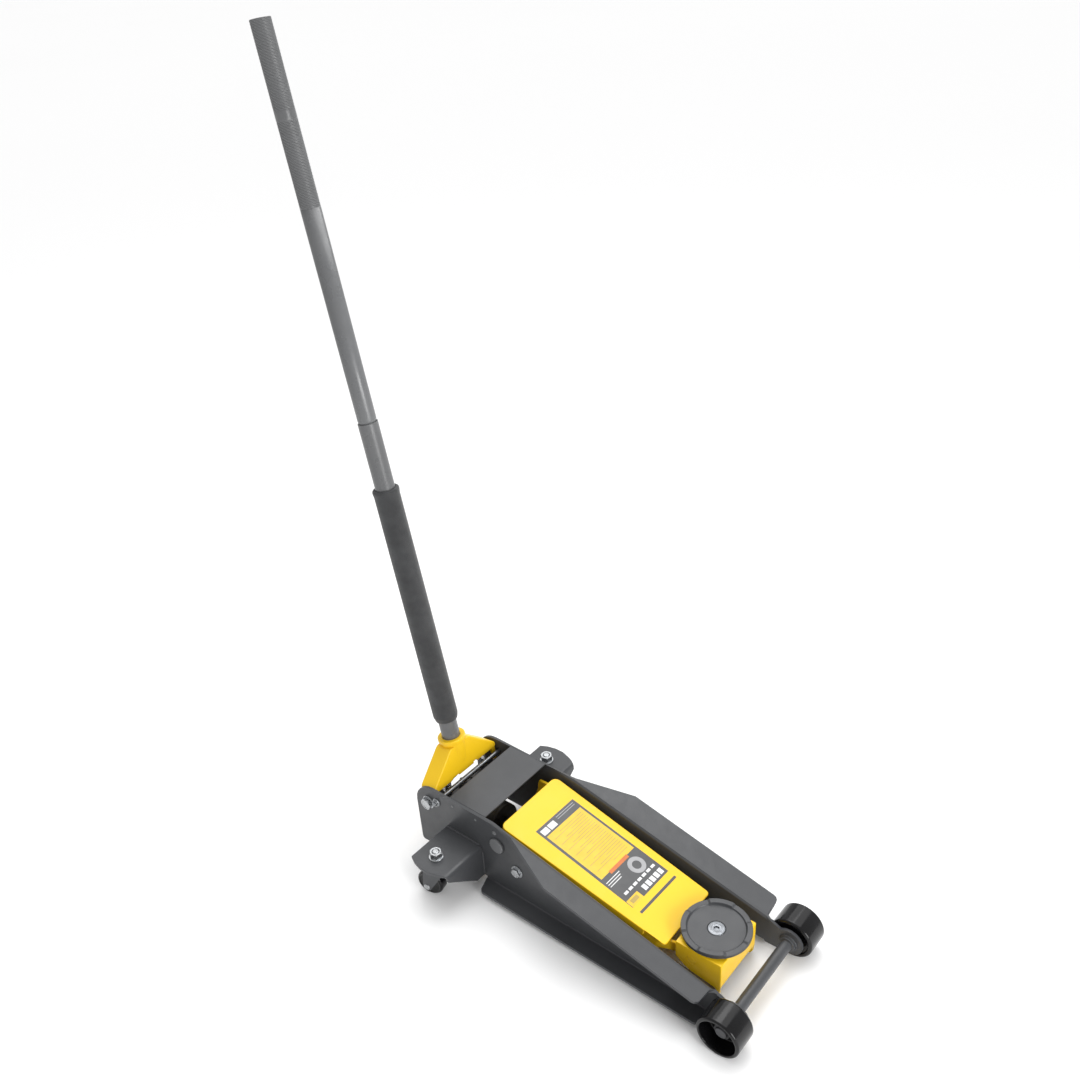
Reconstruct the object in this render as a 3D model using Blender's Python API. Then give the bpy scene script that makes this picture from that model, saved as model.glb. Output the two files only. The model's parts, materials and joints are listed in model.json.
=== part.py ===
"""Hydraulic floor jack: a rolling frame, a lifting arm with a levelled saddle, a pump and a long handle.

Metres, +Z up, +X towards the front wheels, +Y to the left. Places are measured from the front axle's
point on the floor, and the empty `jack` carries the model so that its box stands centred on the origin.
"""

from math import acos, atan2, cos, hypot, pi, radians, sin, tan

import bmesh
import bpy
from mathutils import Vector

# Clearances
GAP = 0.0003            # between pieces that touch or pass through each other
RUN = 0.0015            # between pieces that slide or turn past each other

# Side plates of the frame, with flanges folded outwards
SHEET = 0.005
WEB_IN = 0.084
WEB_REAR = -0.677
YOKE_PIVOT = (WEB_REAR + 0.032, 0.126)
WEB_TOP = 0.162
WEB_REAR_ARC = 0.045
FRAME_BOTTOM = 0.0095
FOLD = 0.0075
SLOPE_START = (-0.463, WEB_TOP)
SLOPE_END = (-0.036, 0.0675)
NOSE_RADIUS = 0.0255
TOP_FLANGE_WIDE = 0.048
TOP_FLANGE_FRONT = 0.0444
TOP_FLANGE_TILT = radians(7.0)
TOP_FLANGE_KINK = -0.337
TOP_FLANGE_NOSE = -0.043
BOTTOM_FLANGE_WIDE = 0.0375
BOTTOM_FLANGE_REAR = -0.5125
BOTTOM_FLANGE_NOSE = -0.046
BOTTOM_FLANGE_CUT = 0.0075
FLANGE_CORNER = 0.009

# Front wheels and axle
WHEEL_RADIUS = 0.038
WHEEL_WIDTH = 0.0476
AXLE_RADIUS = 0.010
AXLE_SHOULDER = 0.014
AXLE_STUB = 0.0053

# Casters
CASTER_AT = (-0.567, WEB_IN + 0.072)
CASTER_TURN = radians(13.0)
CASTER_TRAIL = 0.016
CASTER_RADIUS = 0.026
CASTER_HALF_WIDTH = 0.011
FORK_HALF_WIDTH = 0.0195
FORK_TOP = 2.0 * CASTER_RADIUS + 0.015
FORK_SHEET = 0.003
FORK_HALF_LENGTH = 0.0198
BRACKET_TOP = FORK_TOP + 0.023
BRACKET_SHEET = 0.006
BRACKET_FRONT = CASTER_AT[0] + 0.0495
BRACKET_REAR = CASTER_AT[0] - 0.037
BRACKET_REACH = CASTER_AT[1] + 0.037
KINGPIN_RADIUS = 0.006
GUSSET_FOOT = 0.020

# Lifting arm
ARM_PIVOT = (-0.478, 0.116)
ARM_PIN_RADIUS = 0.0125
ARM_PIN_HEAD = ARM_PIN_RADIUS + 0.0025
ARM_SLOPE = radians(12.5)
ARM_REAR = (-0.4784, 0.1522)
ARM_LENGTH = 0.3461
ARM_HALF_REAR = WEB_IN - 0.007
ARM_HALF_FRONT = WEB_IN - 0.016
ARM_SHEET = 0.0045
ARM_LIP = 0.014
ARM_LIP_LENGTH = 0.305
ARM_REAR_CORNER = 0.012
ARM_FRONT_CORNER = 0.006
CHEEK_SHEET = 0.005
CHEEK_EAR = 0.036
CHEEK_JOGGLE = (-0.165, -0.135)
CRANK_RADIUS = 0.062
CRANK_BACK = radians(35.0)
CRANK_PIN_RADIUS = 0.009
CRANK_BUSH_RADIUS = CRANK_PIN_RADIUS + 0.003
CRANK_LOBE = CRANK_PIN_RADIUS + 0.009

# Saddle, its bracket and the levelling links
SADDLE_PIVOT = (-0.100, 0.059)
SADDLE_PIN_RADIUS = 0.0075
CHEEK_EYE = SADDLE_PIN_RADIUS + 0.007
BRACKET_HALF = ARM_HALF_FRONT - 0.0135
BRACKET_WALL = 0.005
BRACKET_BACK = -0.129
BRACKET_NOSE = -0.044
BRACKET_DECK = 0.083
BRACKET_APRON = 0.033
LINK_PIVOT = (-0.436, 0.077)
LINK_SHEET = 0.005
LINK_PIN_RADIUS = 0.006
LINK_WIDTH = 2.0 * LINK_PIN_RADIUS + 0.006
LINK_LOBE = LINK_PIN_RADIUS + 0.006
SADDLE_AT = -0.0862
SADDLE_RADIUS = 0.0581
SADDLE_DISH = SADDLE_RADIUS - 0.0091
SADDLE_RIM = 0.0967
SADDLE_STEP = 0.0025
SADDLE_FLOOR = 0.0915
SADDLE_HUB = 0.012
SADDLE_SCREW = 0.0147

# Handle and yoke
HANDLE_LEAN = radians(9.38)
HANDLE_TOP = 1.3089
TUBE_RADIUS = 0.017
TUBE_WALL = 0.002
TUBE_SEAT = 0.052
TUBE_JOINT = 0.7086
UPPER_RADIUS = TUBE_RADIUS - 0.0012
UPPER_WALL = 0.0017
UPPER_SWAGE = 0.050
SLEEVE_BOTTOM = 0.129
SLEEVE_TOP = 0.5916
SLEEVE_RADIUS = TUBE_RADIUS + 0.006
COLLAR_TOP = 0.0915
COLLAR_RADIUS = TUBE_RADIUS + 0.009
COLLAR_HEIGHT = 0.0075
YOKE_NECK = TUBE_RADIUS + 0.0055
YOKE_HALF_DEPTH = TUBE_RADIUS + 0.002
YOKE_SKIRT = 0.018
YOKE_WALL = 0.006
YOKE_EAR_SHEET = 0.010

# Power unit
BLOCK_BACK = YOKE_PIVOT[0] - 0.020
BLOCK_FRONT = YOKE_PIVOT[0] + 0.020
BLOCK_BOTTOM = 0.020
BLOCK_TOP = 0.095
BLOCK_HALF = WEB_IN - 0.0115
BLOCK_EAR = 0.0145
RAM_HEIGHT = 0.058
TANK_RADIUS = 0.038
TANK_WALL = 0.003
GLAND_FRONT = -0.545
GLAND_LENGTH = 0.0065
RAM_RADIUS = 0.0125
CYLINDER_RADIUS = RAM_RADIUS + 0.005
CYLINDER_BACK = BLOCK_BACK + 0.010
THRUST_HALF = 0.017
THRUST_SHEET = 0.006
CRANK_CLEAR = 0.0012
PLUNGER_Y = -0.030
PLUNGER_RADIUS = 0.006
PLUNGER_THROW = 0.014
PLUNGER_SWING = radians(32.5)
PLUNGER_CLEAR = 0.0006
CAM_RADIUS = 0.006
VALVE_RADIUS = 0.006
SPRING_WIRE = 0.0009
SPRING_TURNS = 5

# Fasteners: radius of the hexagon's corners, head height, washer radius
YOKE_BOLT = (0.0124, 0.0095, 0.0135)
YOKE_BOLT_RADIUS = 0.007
YOKE_EAR = YOKE_BOLT_RADIUS + 0.0085
BLOCK_EAR_RADIUS = YOKE_BOLT_RADIUS + 0.007
LINK_BOLT = (0.0098, 0.0070, 0.0125)
TIE_ROD = (YOKE_PIVOT[0] + YOKE_HALF_DEPTH + 0.003, YOKE_PIVOT[1] + 0.011)
TIE_ROD_RADIUS = 0.0045
TIE_NUT = (0.0075, 0.0055, 0.0083)
CASTER_NUT = (0.0121, 0.0125, 0.0135)
HEAD_EDGE = 0.001
HEX_TOP = 0.86

# Cover over the power unit
COVER_REAR = -0.592
COVER_FRONT = -0.507
COVER_SHEET = 0.003
COVER_TOP = 0.1625
COVER_TAB_HALF = 0.008
COVER_TAB_DEPTH = 0.018
COVER_TAB_INSET = 0.0094

# Worked out from the sizes above
WEB_OUT = WEB_IN + SHEET
AXLE_HEIGHT = WHEEL_RADIUS
WHEEL_IN = WEB_OUT + 0.0029
WHEEL_OUT = WHEEL_IN + WHEEL_WIDTH
HUB_FACE = WHEEL_OUT - 0.0168
SLOPE = (SLOPE_END[1] - SLOPE_START[1]) / (SLOPE_END[0] - SLOPE_START[0])
CRANK_PIN = (ARM_PIVOT[0] - CRANK_RADIUS * sin(CRANK_BACK),
             ARM_PIVOT[1] - CRANK_RADIUS * cos(CRANK_BACK))
LINK_FRONT = tuple(link + saddle - arm for link, saddle, arm in zip(LINK_PIVOT, SADDLE_PIVOT, ARM_PIVOT))
THRUST_FACE = CRANK_PIN[0] - CRANK_BUSH_RADIUS - CRANK_CLEAR
MODEL_FRONT = WHEEL_RADIUS
MODEL_REAR = YOKE_PIVOT[0] - HANDLE_TOP * sin(HANDLE_LEAN) - UPPER_RADIUS * cos(HANDLE_LEAN)
SIDES = (("left", 1), ("right", -1))

# Colour, roughness and metallic value of each finish
FINISHES = {
    "grey_paint": ((0.055, 0.058, 0.062), 0.42, 0.0),
    "handle_paint": ((0.16, 0.165, 0.17), 0.40, 0.0),
    "yellow_paint": ((0.83, 0.60, 0.06), 0.36, 0.0),
    "zinc": ((0.62, 0.63, 0.65), 0.34, 1.0),
    "steel": ((0.42, 0.42, 0.43), 0.38, 1.0),
    "chrome": ((0.75, 0.75, 0.76), 0.12, 1.0),
    "black_gloss": ((0.012, 0.012, 0.013), 0.18, 0.0),
    "black_cast": ((0.03, 0.03, 0.032), 0.55, 0.0),
    "foam": ((0.030, 0.030, 0.032), 0.85, 0.0),
}

PLANES = {
    "X": lambda u, v, w: (w, u, v),
    "Y": lambda u, v, w: (u, w, v),
    "Z": lambda u, v, w: (u, v, w),
}


# ---------------------------------------------------------------- scene and objects

def clear_scene():
    for item in list(bpy.data.objects):
        bpy.data.objects.remove(item, do_unlink=True)


def finish_material(name, finish):
    colour, roughness, metallic = FINISHES[finish]
    made = bpy.data.materials.new(name + "_finish")
    made.use_nodes = True
    surface = made.node_tree.nodes["Principled BSDF"]
    surface.inputs["Base Color"].default_value = (*colour, 1.0)
    surface.inputs["Roughness"].default_value = roughness
    surface.inputs["Metallic"].default_value = metallic
    made.diffuse_color = (*colour, 1.0)
    return made


def joint_frame(name, parent=None, at=(0.0, 0.0, 0.0), turn=(0.0, 0.0, 0.0)):
    """An empty on a joint's axis. `at` and `turn` are in its parent's frame."""
    frame = bpy.data.objects.new(name, None)
    bpy.context.collection.objects.link(frame)
    frame.parent = parent
    frame.location = at
    frame.rotation_euler = turn
    return frame


def piece(name, bm, finish, parent, at=(0.0, 0.0, 0.0), smooth=False):
    """Turns the mesh into the object `name`, with its own material and its origin at `at` in its parent."""
    mesh = bpy.data.meshes.new(name)
    bm.to_mesh(mesh)
    bm.free()
    if smooth:
        mesh.shade_smooth()
        mesh.set_sharp_from_angle(angle=radians(40.0))
    made = bpy.data.objects.new(name, mesh)
    bpy.context.collection.objects.link(made)
    made.parent = parent
    made.location = at
    mesh.materials.append(finish_material(name, finish))
    return made


def tool(name, bm, parent, at=(0.0, 0.0, 0.0)):
    """A hidden solid that a Boolean takes away from a piece or adds to it."""
    mesh = bpy.data.meshes.new(name)
    bm.to_mesh(mesh)
    bm.free()
    made = bpy.data.objects.new(name, mesh)
    bpy.context.collection.objects.link(made)
    made.parent = parent
    made.location = at
    made.hide_render = True
    made.display_type = "WIRE"
    return made


def boolean(target, other, operation, solver="EXACT"):
    step = target.modifiers.new(operation.lower() + "_" + other.name, "BOOLEAN")
    step.operation = operation
    step.solver = solver
    step.object = other


def sheet_metal(target, thickness):
    step = target.modifiers.new("thickness", "SOLIDIFY")
    step.thickness = thickness
    step.offset = -1.0
    step.solidify_mode = "NON_MANIFOLD"
    step.nonmanifold_thickness_mode = "CONSTRAINTS"
    step.nonmanifold_merge_threshold = 0.00001


def soften_folds(target, radius, segments=2):
    step = target.modifiers.new("folds", "BEVEL")
    step.width = radius
    step.segments = segments
    step.limit_method = "ANGLE"
    step.angle_limit = radians(50.0)


# ---------------------------------------------------------------- outlines and solids

def arc(centre, radius, start, end, steps):
    """Points of an arc from angle `start` to `end` in degrees, both ends included."""
    angles = [radians(start + (end - start) * i / steps) for i in range(steps + 1)]
    return [(centre[0] + radius * cos(a), centre[1] + radius * sin(a)) for a in angles]


def bore_for(pin, steps, clearance=GAP):
    """Corner radius of a bore with `steps` flats that keeps `clearance` to a pin inside it."""
    return (pin + clearance) / cos(pi / steps)


def ring_outline(centre, radius, steps):
    return arc(centre, radius, 0.0, 360.0, steps)[:-1]


def tangent_angle(start, start_radius, end, end_radius, side):
    """Angle in degrees of the outer tangent's contact points on two circles, on one side of their line."""
    run = (end[0] - start[0], end[1] - start[1])
    along = atan2(run[1], run[0])
    return (along + side * acos((start_radius - end_radius) / hypot(*run))) * 180.0 / pi


def capsule(start, end, radius, steps):
    """Outline of a bar with round ends."""
    lower = tangent_angle(start, radius, end, radius, -1)
    near = arc(start, radius, lower + 180.0, lower + 360.0, steps)
    far = arc(end, radius, lower, lower + 180.0, steps)
    return near + far


def slab(outline, start, end, across, holes=()):
    """A flat plate from an outline, square to the axis `across` between `start` and `end`.

    Each hole is (u, v, radius), in the outline's plane.
    """
    to_space = PLANES[across]
    bm = bmesh.new()
    edges = []
    for loop in [outline] + [ring_outline((u, v), radius, 12) for u, v, radius in holes]:
        verts = [bm.verts.new(to_space(u, v, start)) for u, v in loop]
        edges += [bm.edges.new(pair) for pair in zip(verts, verts[1:] + verts[:1])]
    bmesh.ops.triangle_fill(bm, use_beauty=True, edges=edges)
    raised = bmesh.ops.extrude_face_region(bm, geom=bm.faces[:])
    moved = [item for item in raised["geom"] if isinstance(item, bmesh.types.BMVert)]
    bmesh.ops.translate(bm, vec=to_space(0.0, 0.0, end - start), verts=moved)
    bmesh.ops.recalc_face_normals(bm, faces=bm.faces)
    return bm


def round_ring(radius, height, steps, sides=0, across="Z"):
    """A ring about the axis. With `sides`, the ring is a polygon whose corners are at `radius`."""
    points = []
    for i in range(steps):
        a = 2.0 * pi * i / steps
        reach = radius
        if sides:
            half = pi / sides
            reach = radius * cos(half) / cos((a % (2.0 * half)) - half)
        points.append(PLANES[across](reach * cos(a), reach * sin(a), height))
    return points


def loft(rings, hollow=False):
    """A closed solid through rings of equal length. A hollow one joins its last ring to its first."""
    bm = bmesh.new()
    rows = [[bm.verts.new(point) for point in ring] for ring in rings]
    pairs = list(zip(rows, rows[1:]))
    if hollow:
        pairs.append((rows[-1], rows[0]))
    for low, high in pairs:
        for i in range(len(low)):
            j = (i + 1) % len(low)
            bm.faces.new((low[i], low[j], high[j], high[i]))
    if not hollow:
        bm.faces.new(rows[0])
        bm.faces.new(rows[-1])
    bmesh.ops.recalc_face_normals(bm, faces=bm.faces)
    return bm


def turned(profile, steps, across="Z", hollow=False):
    """A round piece from (radius, height) points, with (radius, height, sides) for a polygon's ring."""
    return loft([round_ring(p[0], p[1], steps, *p[2:], across=across) for p in profile], hollow)


def hex_bolt(head, face, side, shank, reach):
    """A flanged hexagon bolt along Y: head on the outer `face`, shank inwards to `reach`, on one side."""
    corner, height, washer = head
    flange = 0.0016
    rings = [(shank, reach), (shank, face), (washer, face), (washer, face + flange * 0.6),
             (corner, face + flange, 6), (corner, face + height - HEAD_EDGE, 6),
             (corner * HEX_TOP, face + height)]
    return turned([(radius, side * y, *sides) for radius, y, *sides in rings], 12, across="Y")


def hex_nut(nut, bore, face, side, across="Y"):
    """A hexagon nut on its washer, on the outer `face` of one side."""
    corner, height, washer = nut
    seat = 0.0012
    rings = [(bore, face), (washer, face), (washer, face + seat), (corner, face + seat * 1.5, 6),
             (corner, face + height - HEAD_EDGE, 6), (corner * HEX_TOP, face + height), (bore, face + height)]
    return turned([(radius, side * y, *sides) for radius, y, *sides in rings], 12, across=across, hollow=True)


def mirrored(bm, side):
    """The left-hand mesh itself, or its mirror image for the right-hand side."""
    if side < 0:
        bmesh.ops.scale(bm, vec=(1.0, -1.0, 1.0), verts=bm.verts)
        bmesh.ops.reverse_faces(bm, faces=bm.faces)
    return bm


def shift_sideways(bm, stations):
    """Joggles a plate in Y: stations are (x, y shift), with straight runs between them."""
    for x, _ in stations:
        bmesh.ops.bisect_plane(bm, geom=bm.verts[:] + bm.edges[:] + bm.faces[:],
                               plane_co=(x, 0.0, 0.0), plane_no=(1.0, 0.0, 0.0))
    for vert in bm.verts:
        vert.co.y += ramp(stations, vert.co.x)
    return bm


def ramp(stations, x):
    """Value at `x` on straight runs between (x, value) stations, held at both ends."""
    if x <= stations[0][0]:
        return stations[0][1]
    for (x0, y0), (x1, y1) in zip(stations, stations[1:]):
        if x <= x1:
            return y0 + (y1 - y0) * (x - x0) / (x1 - x0)
    return stations[-1][1]


# ---------------------------------------------------------------- frame

def slope_height(x):
    """Height of the frame's sloping top edge at x."""
    return SLOPE_START[1] + SLOPE * (x - SLOPE_START[0])


def side_plate_sheet():
    """The left side plate as an open sheet: the web's inner face, the top flange's upper face and the
    bottom flange's lower face, with the folds between them as arcs."""
    bm = bmesh.new()
    fold_angles = [pi / 2.0 * i / 3 for i in range(4)]

    def top_section(x, spread):
        """Fold points at x, from the web up to the flange. `spread` 0 stands the fold straight up."""
        top = slope_height(x) if x > SLOPE_START[0] else WEB_TOP
        points = []
        for a in fold_angles:
            folded = (WEB_IN + FOLD * (1.0 - cos(a)), top - FOLD * (1.0 - sin(a)))
            upright = (WEB_IN, top - FOLD * (1.0 - a / (pi / 2.0)))
            points.append(tuple(spread * f + (1.0 - spread) * u for f, u in zip(folded, upright)))
        return [bm.verts.new((x, y, z)) for y, z in points]

    flange_start = SLOPE_START[0] + 0.022
    stations = [(SLOPE_START[0] - 0.024, 0.0), (flange_start, 1.0), (TOP_FLANGE_KINK, 1.0),
                (TOP_FLANGE_NOSE - FLANGE_CORNER, 1.0), (TOP_FLANGE_NOSE, 1.0), (SLOPE_END[0], 0.0)]
    sections = [top_section(x, spread) for x, spread in stations]
    for low, high in zip(sections, sections[1:]):
        for i in range(len(low) - 1):
            bm.faces.new((low[i], high[i], high[i + 1], low[i + 1]))

    def flange_point(x, y):
        return bm.verts.new((x, y, slope_height(x) + (y - WEB_IN - FOLD) * tan(TOP_FLANGE_TILT)))

    front_y = WEB_IN + TOP_FLANGE_FRONT
    corner = arc((TOP_FLANGE_NOSE - FLANGE_CORNER, front_y - FLANGE_CORNER), FLANGE_CORNER, 0.0, 90.0, 3)
    outer = [flange_point(x, y) for x, y in corner]
    outer.append(flange_point(TOP_FLANGE_KINK, WEB_IN + TOP_FLANGE_WIDE))
    bm.faces.new([section[-1] for section in sections[1:-1]] + outer)

    bottom = []
    for x in (BOTTOM_FLANGE_NOSE, BOTTOM_FLANGE_REAR):
        section = [(WEB_IN + FOLD * (1.0 - cos(a)), FRAME_BOTTOM + FOLD * (1.0 - sin(a))) for a in fold_angles]
        bottom.append([bm.verts.new((x, y, z)) for y, z in section])
    for i in range(len(fold_angles) - 1):
        bm.faces.new((bottom[0][i], bottom[0][i + 1], bottom[1][i + 1], bottom[1][i]))
    reach = WEB_IN + BOTTOM_FLANGE_WIDE
    front = arc((BOTTOM_FLANGE_NOSE - FLANGE_CORNER, reach - FLANGE_CORNER), FLANGE_CORNER, 0.0, 90.0, 3)
    rear_at = (BOTTOM_FLANGE_REAR + BOTTOM_FLANGE_CUT + FLANGE_CORNER, reach - FLANGE_CORNER)
    rear = arc(rear_at, FLANGE_CORNER, 90.0, 175.0, 3)
    outer = [bm.verts.new((x, y, FRAME_BOTTOM)) for x, y in front + rear]
    bm.faces.new([bottom[1][-1], bottom[0][-1]] + outer)

    web_z = FRAME_BOTTOM + FOLD
    nose_start = 127.9
    rear_arc = arc((WEB_REAR + WEB_REAR_ARC, WEB_TOP - WEB_REAR_ARC), WEB_REAR_ARC, 180.0, 90.0, 6)
    nose = arc((0.0, AXLE_HEIGHT), NOSE_RADIUS, nose_start, -93.0, 10)
    heel = arc((WEB_REAR + 0.008, web_z + 0.0065), 0.008, 236.0, 180.0, 2)

    def web_points(points):
        return [bm.verts.new((x, WEB_IN, z)) for x, z in points]

    web = web_points(rear_arc)
    web += reversed(sections[0])
    web += [section[0] for section in sections[1:]]
    web += sections[-1][1:]
    web += web_points(nose)
    web += web_points([(BOTTOM_FLANGE_NOSE + 0.004, FRAME_BOTTOM + 0.001)])
    web += [bottom[0][0], bottom[1][0]]
    web += web_points(heel)
    bm.faces.new(web)
    bmesh.ops.recalc_face_normals(bm, faces=bm.faces)
    web_face = max(bm.faces, key=lambda face: face.calc_area())
    if web_face.normal.y > 0.0:
        bmesh.ops.reverse_faces(bm, faces=bm.faces)
    return bm


def make_side_plates(jack):
    holes = (((0.0, AXLE_HEIGHT), AXLE_RADIUS), (ARM_PIVOT, ARM_PIN_RADIUS), (LINK_PIVOT, LINK_PIN_RADIUS),
             (YOKE_PIVOT, YOKE_BOLT_RADIUS), (TIE_ROD, TIE_ROD_RADIUS))
    for name, side in SIDES:
        plate = piece("side_plate_" + name, mirrored(side_plate_sheet(), side), "grey_paint", jack)
        sheet_metal(plate, SHEET)
        for i, ((x, z), pin) in enumerate(holes):
            radius = bore_for(pin, 12)
            reach = (side * (WEB_IN - SHEET), side * (WEB_OUT + SHEET))
            cutter = turned([(radius, reach[0]), (radius, reach[1])], 12, across="Y")
            boolean(plate, tool("plate_hole_%s_%d" % (name, i), cutter, jack, (x, 0.0, z)), "DIFFERENCE")


def make_cover(jack):
    """The plate over the power unit, with two tabs down each side plate."""
    half = WEB_IN - GAP
    top = slab([(COVER_REAR, -half), (COVER_FRONT, -half), (COVER_FRONT, half), (COVER_REAR, half)],
               COVER_TOP - COVER_SHEET, COVER_TOP, "Z")
    cover = piece("rear_cover_plate", top, "grey_paint", jack)
    low = COVER_TOP - COVER_TAB_DEPTH
    high = COVER_TOP - COVER_SHEET / 3.0
    for name, side in SIDES:
        for i, x in enumerate((COVER_REAR + COVER_TAB_INSET, COVER_FRONT - 2.0 * COVER_TAB_INSET)):
            outline = [(x - COVER_TAB_HALF, low), (x + COVER_TAB_HALF, low),
                       (x + COVER_TAB_HALF, high), (x - COVER_TAB_HALF, high)]
            tab = slab(outline, side * (half - COVER_SHEET), side * half, "Y")
            boolean(cover, tool("cover_tab_%s_%d" % (name, i), tab, jack), "UNION")


def make_tie_rod(jack):
    reach = WEB_OUT + GAP + TIE_NUT[1] + 0.002
    rod = turned([(TIE_ROD_RADIUS, -reach), (TIE_ROD_RADIUS, reach)], 12, across="Y")
    piece("tie_rod", rod, "zinc", jack, (TIE_ROD[0], 0.0, TIE_ROD[1]), smooth=True)
    for name, side in SIDES:
        nut = hex_nut(TIE_NUT, bore_for(TIE_ROD_RADIUS, 12), WEB_OUT + GAP, side)
        piece("tie_rod_nut_" + name, nut, "zinc", jack, (TIE_ROD[0], 0.0, TIE_ROD[1]))


def make_front_axle(jack):
    shoulder = WEB_IN - GAP
    end = HUB_FACE + AXLE_STUB
    half = [(AXLE_RADIUS, shoulder - 0.0063), (AXLE_SHOULDER, shoulder - 0.006), (AXLE_SHOULDER, shoulder),
            (AXLE_RADIUS, shoulder), (AXLE_RADIUS, end - 0.001), (AXLE_RADIUS - 0.001, end)]
    profile = [(radius, -y) for radius, y in reversed(half)] + half
    axle = turned(profile, 16, across="Y")
    piece("front_axle", axle, "grey_paint", jack, (0.0, 0.0, AXLE_HEIGHT), smooth=True)
    for name, side in SIDES:
        start = HUB_FACE + 0.0005
        bore = bore_for(AXLE_RADIUS, 16)
        profile = [(bore, side * start), (0.0135, side * start), (0.0135, side * (start + 0.0015)),
                   (bore, side * (start + 0.0015))]
        ring = turned(profile, 16, across="Y", hollow=True)
        piece("wheel_retaining_ring_" + name, ring, "zinc", jack, (0.0, 0.0, AXLE_HEIGHT), smooth=True)


def make_front_wheels(jack):
    bore = bore_for(AXLE_RADIUS, 24)
    rim = WHEEL_RADIUS
    edge = 0.0025
    disc = HUB_FACE - 0.0107
    back = WHEEL_IN + 0.004
    profile = [(bore, WHEEL_IN), (0.0160, WHEEL_IN), (0.0165, back), (rim - 0.0080, back), (rim - 0.0065, WHEEL_IN),
               (rim - edge, WHEEL_IN), (rim, WHEEL_IN + edge), (rim, WHEEL_OUT - edge), (rim - edge, WHEEL_OUT),
               (rim - 0.0060, WHEEL_OUT), (rim - 0.0080, disc), (0.0170, disc), (0.0160, HUB_FACE), (bore, HUB_FACE)]
    for name, side in SIDES:
        axle = joint_frame("front_wheel_axis_" + name, jack, (0.0, 0.0, AXLE_HEIGHT))
        wheel = turned([(radius, side * y) for radius, y in profile], 24, across="Y", hollow=True)
        piece("front_wheel_" + name, wheel, "black_gloss", axle, smooth=True)


# ---------------------------------------------------------------- casters

def bracket_sheet():
    """The left caster bracket as an open sheet: its top face and the gusset folded down at its front."""
    bm = bmesh.new()
    inner = WEB_OUT + GAP
    short = BRACKET_REACH - 0.014
    rim = [(BRACKET_REAR, BRACKET_REACH - 0.0115), (BRACKET_REAR + 0.014, BRACKET_REACH - 0.0045),
           (CASTER_AT[0] - 0.006, BRACKET_REACH - 0.0005), (CASTER_AT[0] + 0.012, BRACKET_REACH - 0.0004),
           (CASTER_AT[0] + 0.033, BRACKET_REACH - 0.0065)]
    front = [bm.verts.new((BRACKET_FRONT, y, BRACKET_TOP)) for y in (short, inner)]
    deck = [bm.verts.new((x, y, BRACKET_TOP)) for x, y in [(BRACKET_REAR, inner)] + rim]
    bm.faces.new(deck + front)
    gusset = [(inner, GUSSET_FOOT), (inner + 0.0207, GUSSET_FOOT), (short, BRACKET_TOP - 0.015)]
    low = [bm.verts.new((BRACKET_FRONT, y, z)) for y, z in gusset]
    bm.faces.new(list(front) + low)
    bmesh.ops.recalc_face_normals(bm, faces=bm.faces)
    if max(bm.faces, key=lambda face: face.calc_center_median().z).normal.z < 0.0:
        bmesh.ops.reverse_faces(bm, faces=bm.faces)
    return bm


def make_caster_brackets(jack):
    for name, side in SIDES:
        bracket = piece("caster_bracket_" + name, mirrored(bracket_sheet(), side), "grey_paint", jack)
        soften_folds(bracket, 0.008)
        sheet_metal(bracket, BRACKET_SHEET)
        radius = bore_for(KINGPIN_RADIUS, 12)
        hole = turned([(radius, BRACKET_TOP - 2 * BRACKET_SHEET), (radius, BRACKET_TOP + BRACKET_SHEET)], 12)
        at = (CASTER_AT[0], side * CASTER_AT[1], 0.0)
        boolean(bracket, tool("bracket_hole_" + name, hole, jack, at), "DIFFERENCE")

        race_top = BRACKET_TOP - BRACKET_SHEET - GAP
        bore = bore_for(KINGPIN_RADIUS, 16)
        race = [(bore, FORK_TOP + GAP), (0.0125, FORK_TOP + GAP), (0.0165, FORK_TOP + 0.0045),
                (0.0175, FORK_TOP + 0.009), (0.0165, race_top), (bore, race_top)]
        piece("caster_race_" + name, turned(race, 16, hollow=True), "zinc", jack, at, smooth=True)

        head_top = FORK_TOP - FORK_SHEET - GAP
        end = BRACKET_TOP + CASTER_NUT[1] + 0.0012
        kingpin = [(0.0085, head_top - 0.004), (0.0100, head_top - 0.003), (0.0100, head_top),
                   (KINGPIN_RADIUS, head_top), (KINGPIN_RADIUS, end - 0.001), (KINGPIN_RADIUS - 0.001, end)]
        piece("caster_kingpin_" + name, turned(kingpin, 12), "zinc", jack, at, smooth=True)
        nut = hex_nut(CASTER_NUT, bore, BRACKET_TOP + GAP, 1, across="Z")
        piece("caster_nut_" + name, nut, "zinc", jack, at)


def fork_sheet():
    """The fork as an open sheet about its kingpin: a flat crown with a leg folded down on each side."""
    bm = bmesh.new()
    crown = {}
    for sx in (-1, 1):
        for sy in (-1, 1):
            crown[sx, sy] = bm.verts.new((sx * FORK_HALF_LENGTH, sy * FORK_HALF_WIDTH, FORK_TOP))
    bm.faces.new((crown[-1, -1], crown[1, -1], crown[1, 1], crown[-1, 1]))
    eye = (-CASTER_TRAIL, CASTER_RADIUS)
    for sy in (-1, 1):
        foot = arc(eye, 0.009, 200.0, 340.0, 5)
        verts = [bm.verts.new((x, sy * FORK_HALF_WIDTH, z)) for x, z in foot]
        bm.faces.new([crown[-1, sy]] + verts + [crown[1, sy]])
    bmesh.ops.recalc_face_normals(bm, faces=bm.faces)
    if max(bm.faces, key=lambda face: face.calc_center_median().z).normal.z < 0.0:
        bmesh.ops.reverse_faces(bm, faces=bm.faces)
    return bm


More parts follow.
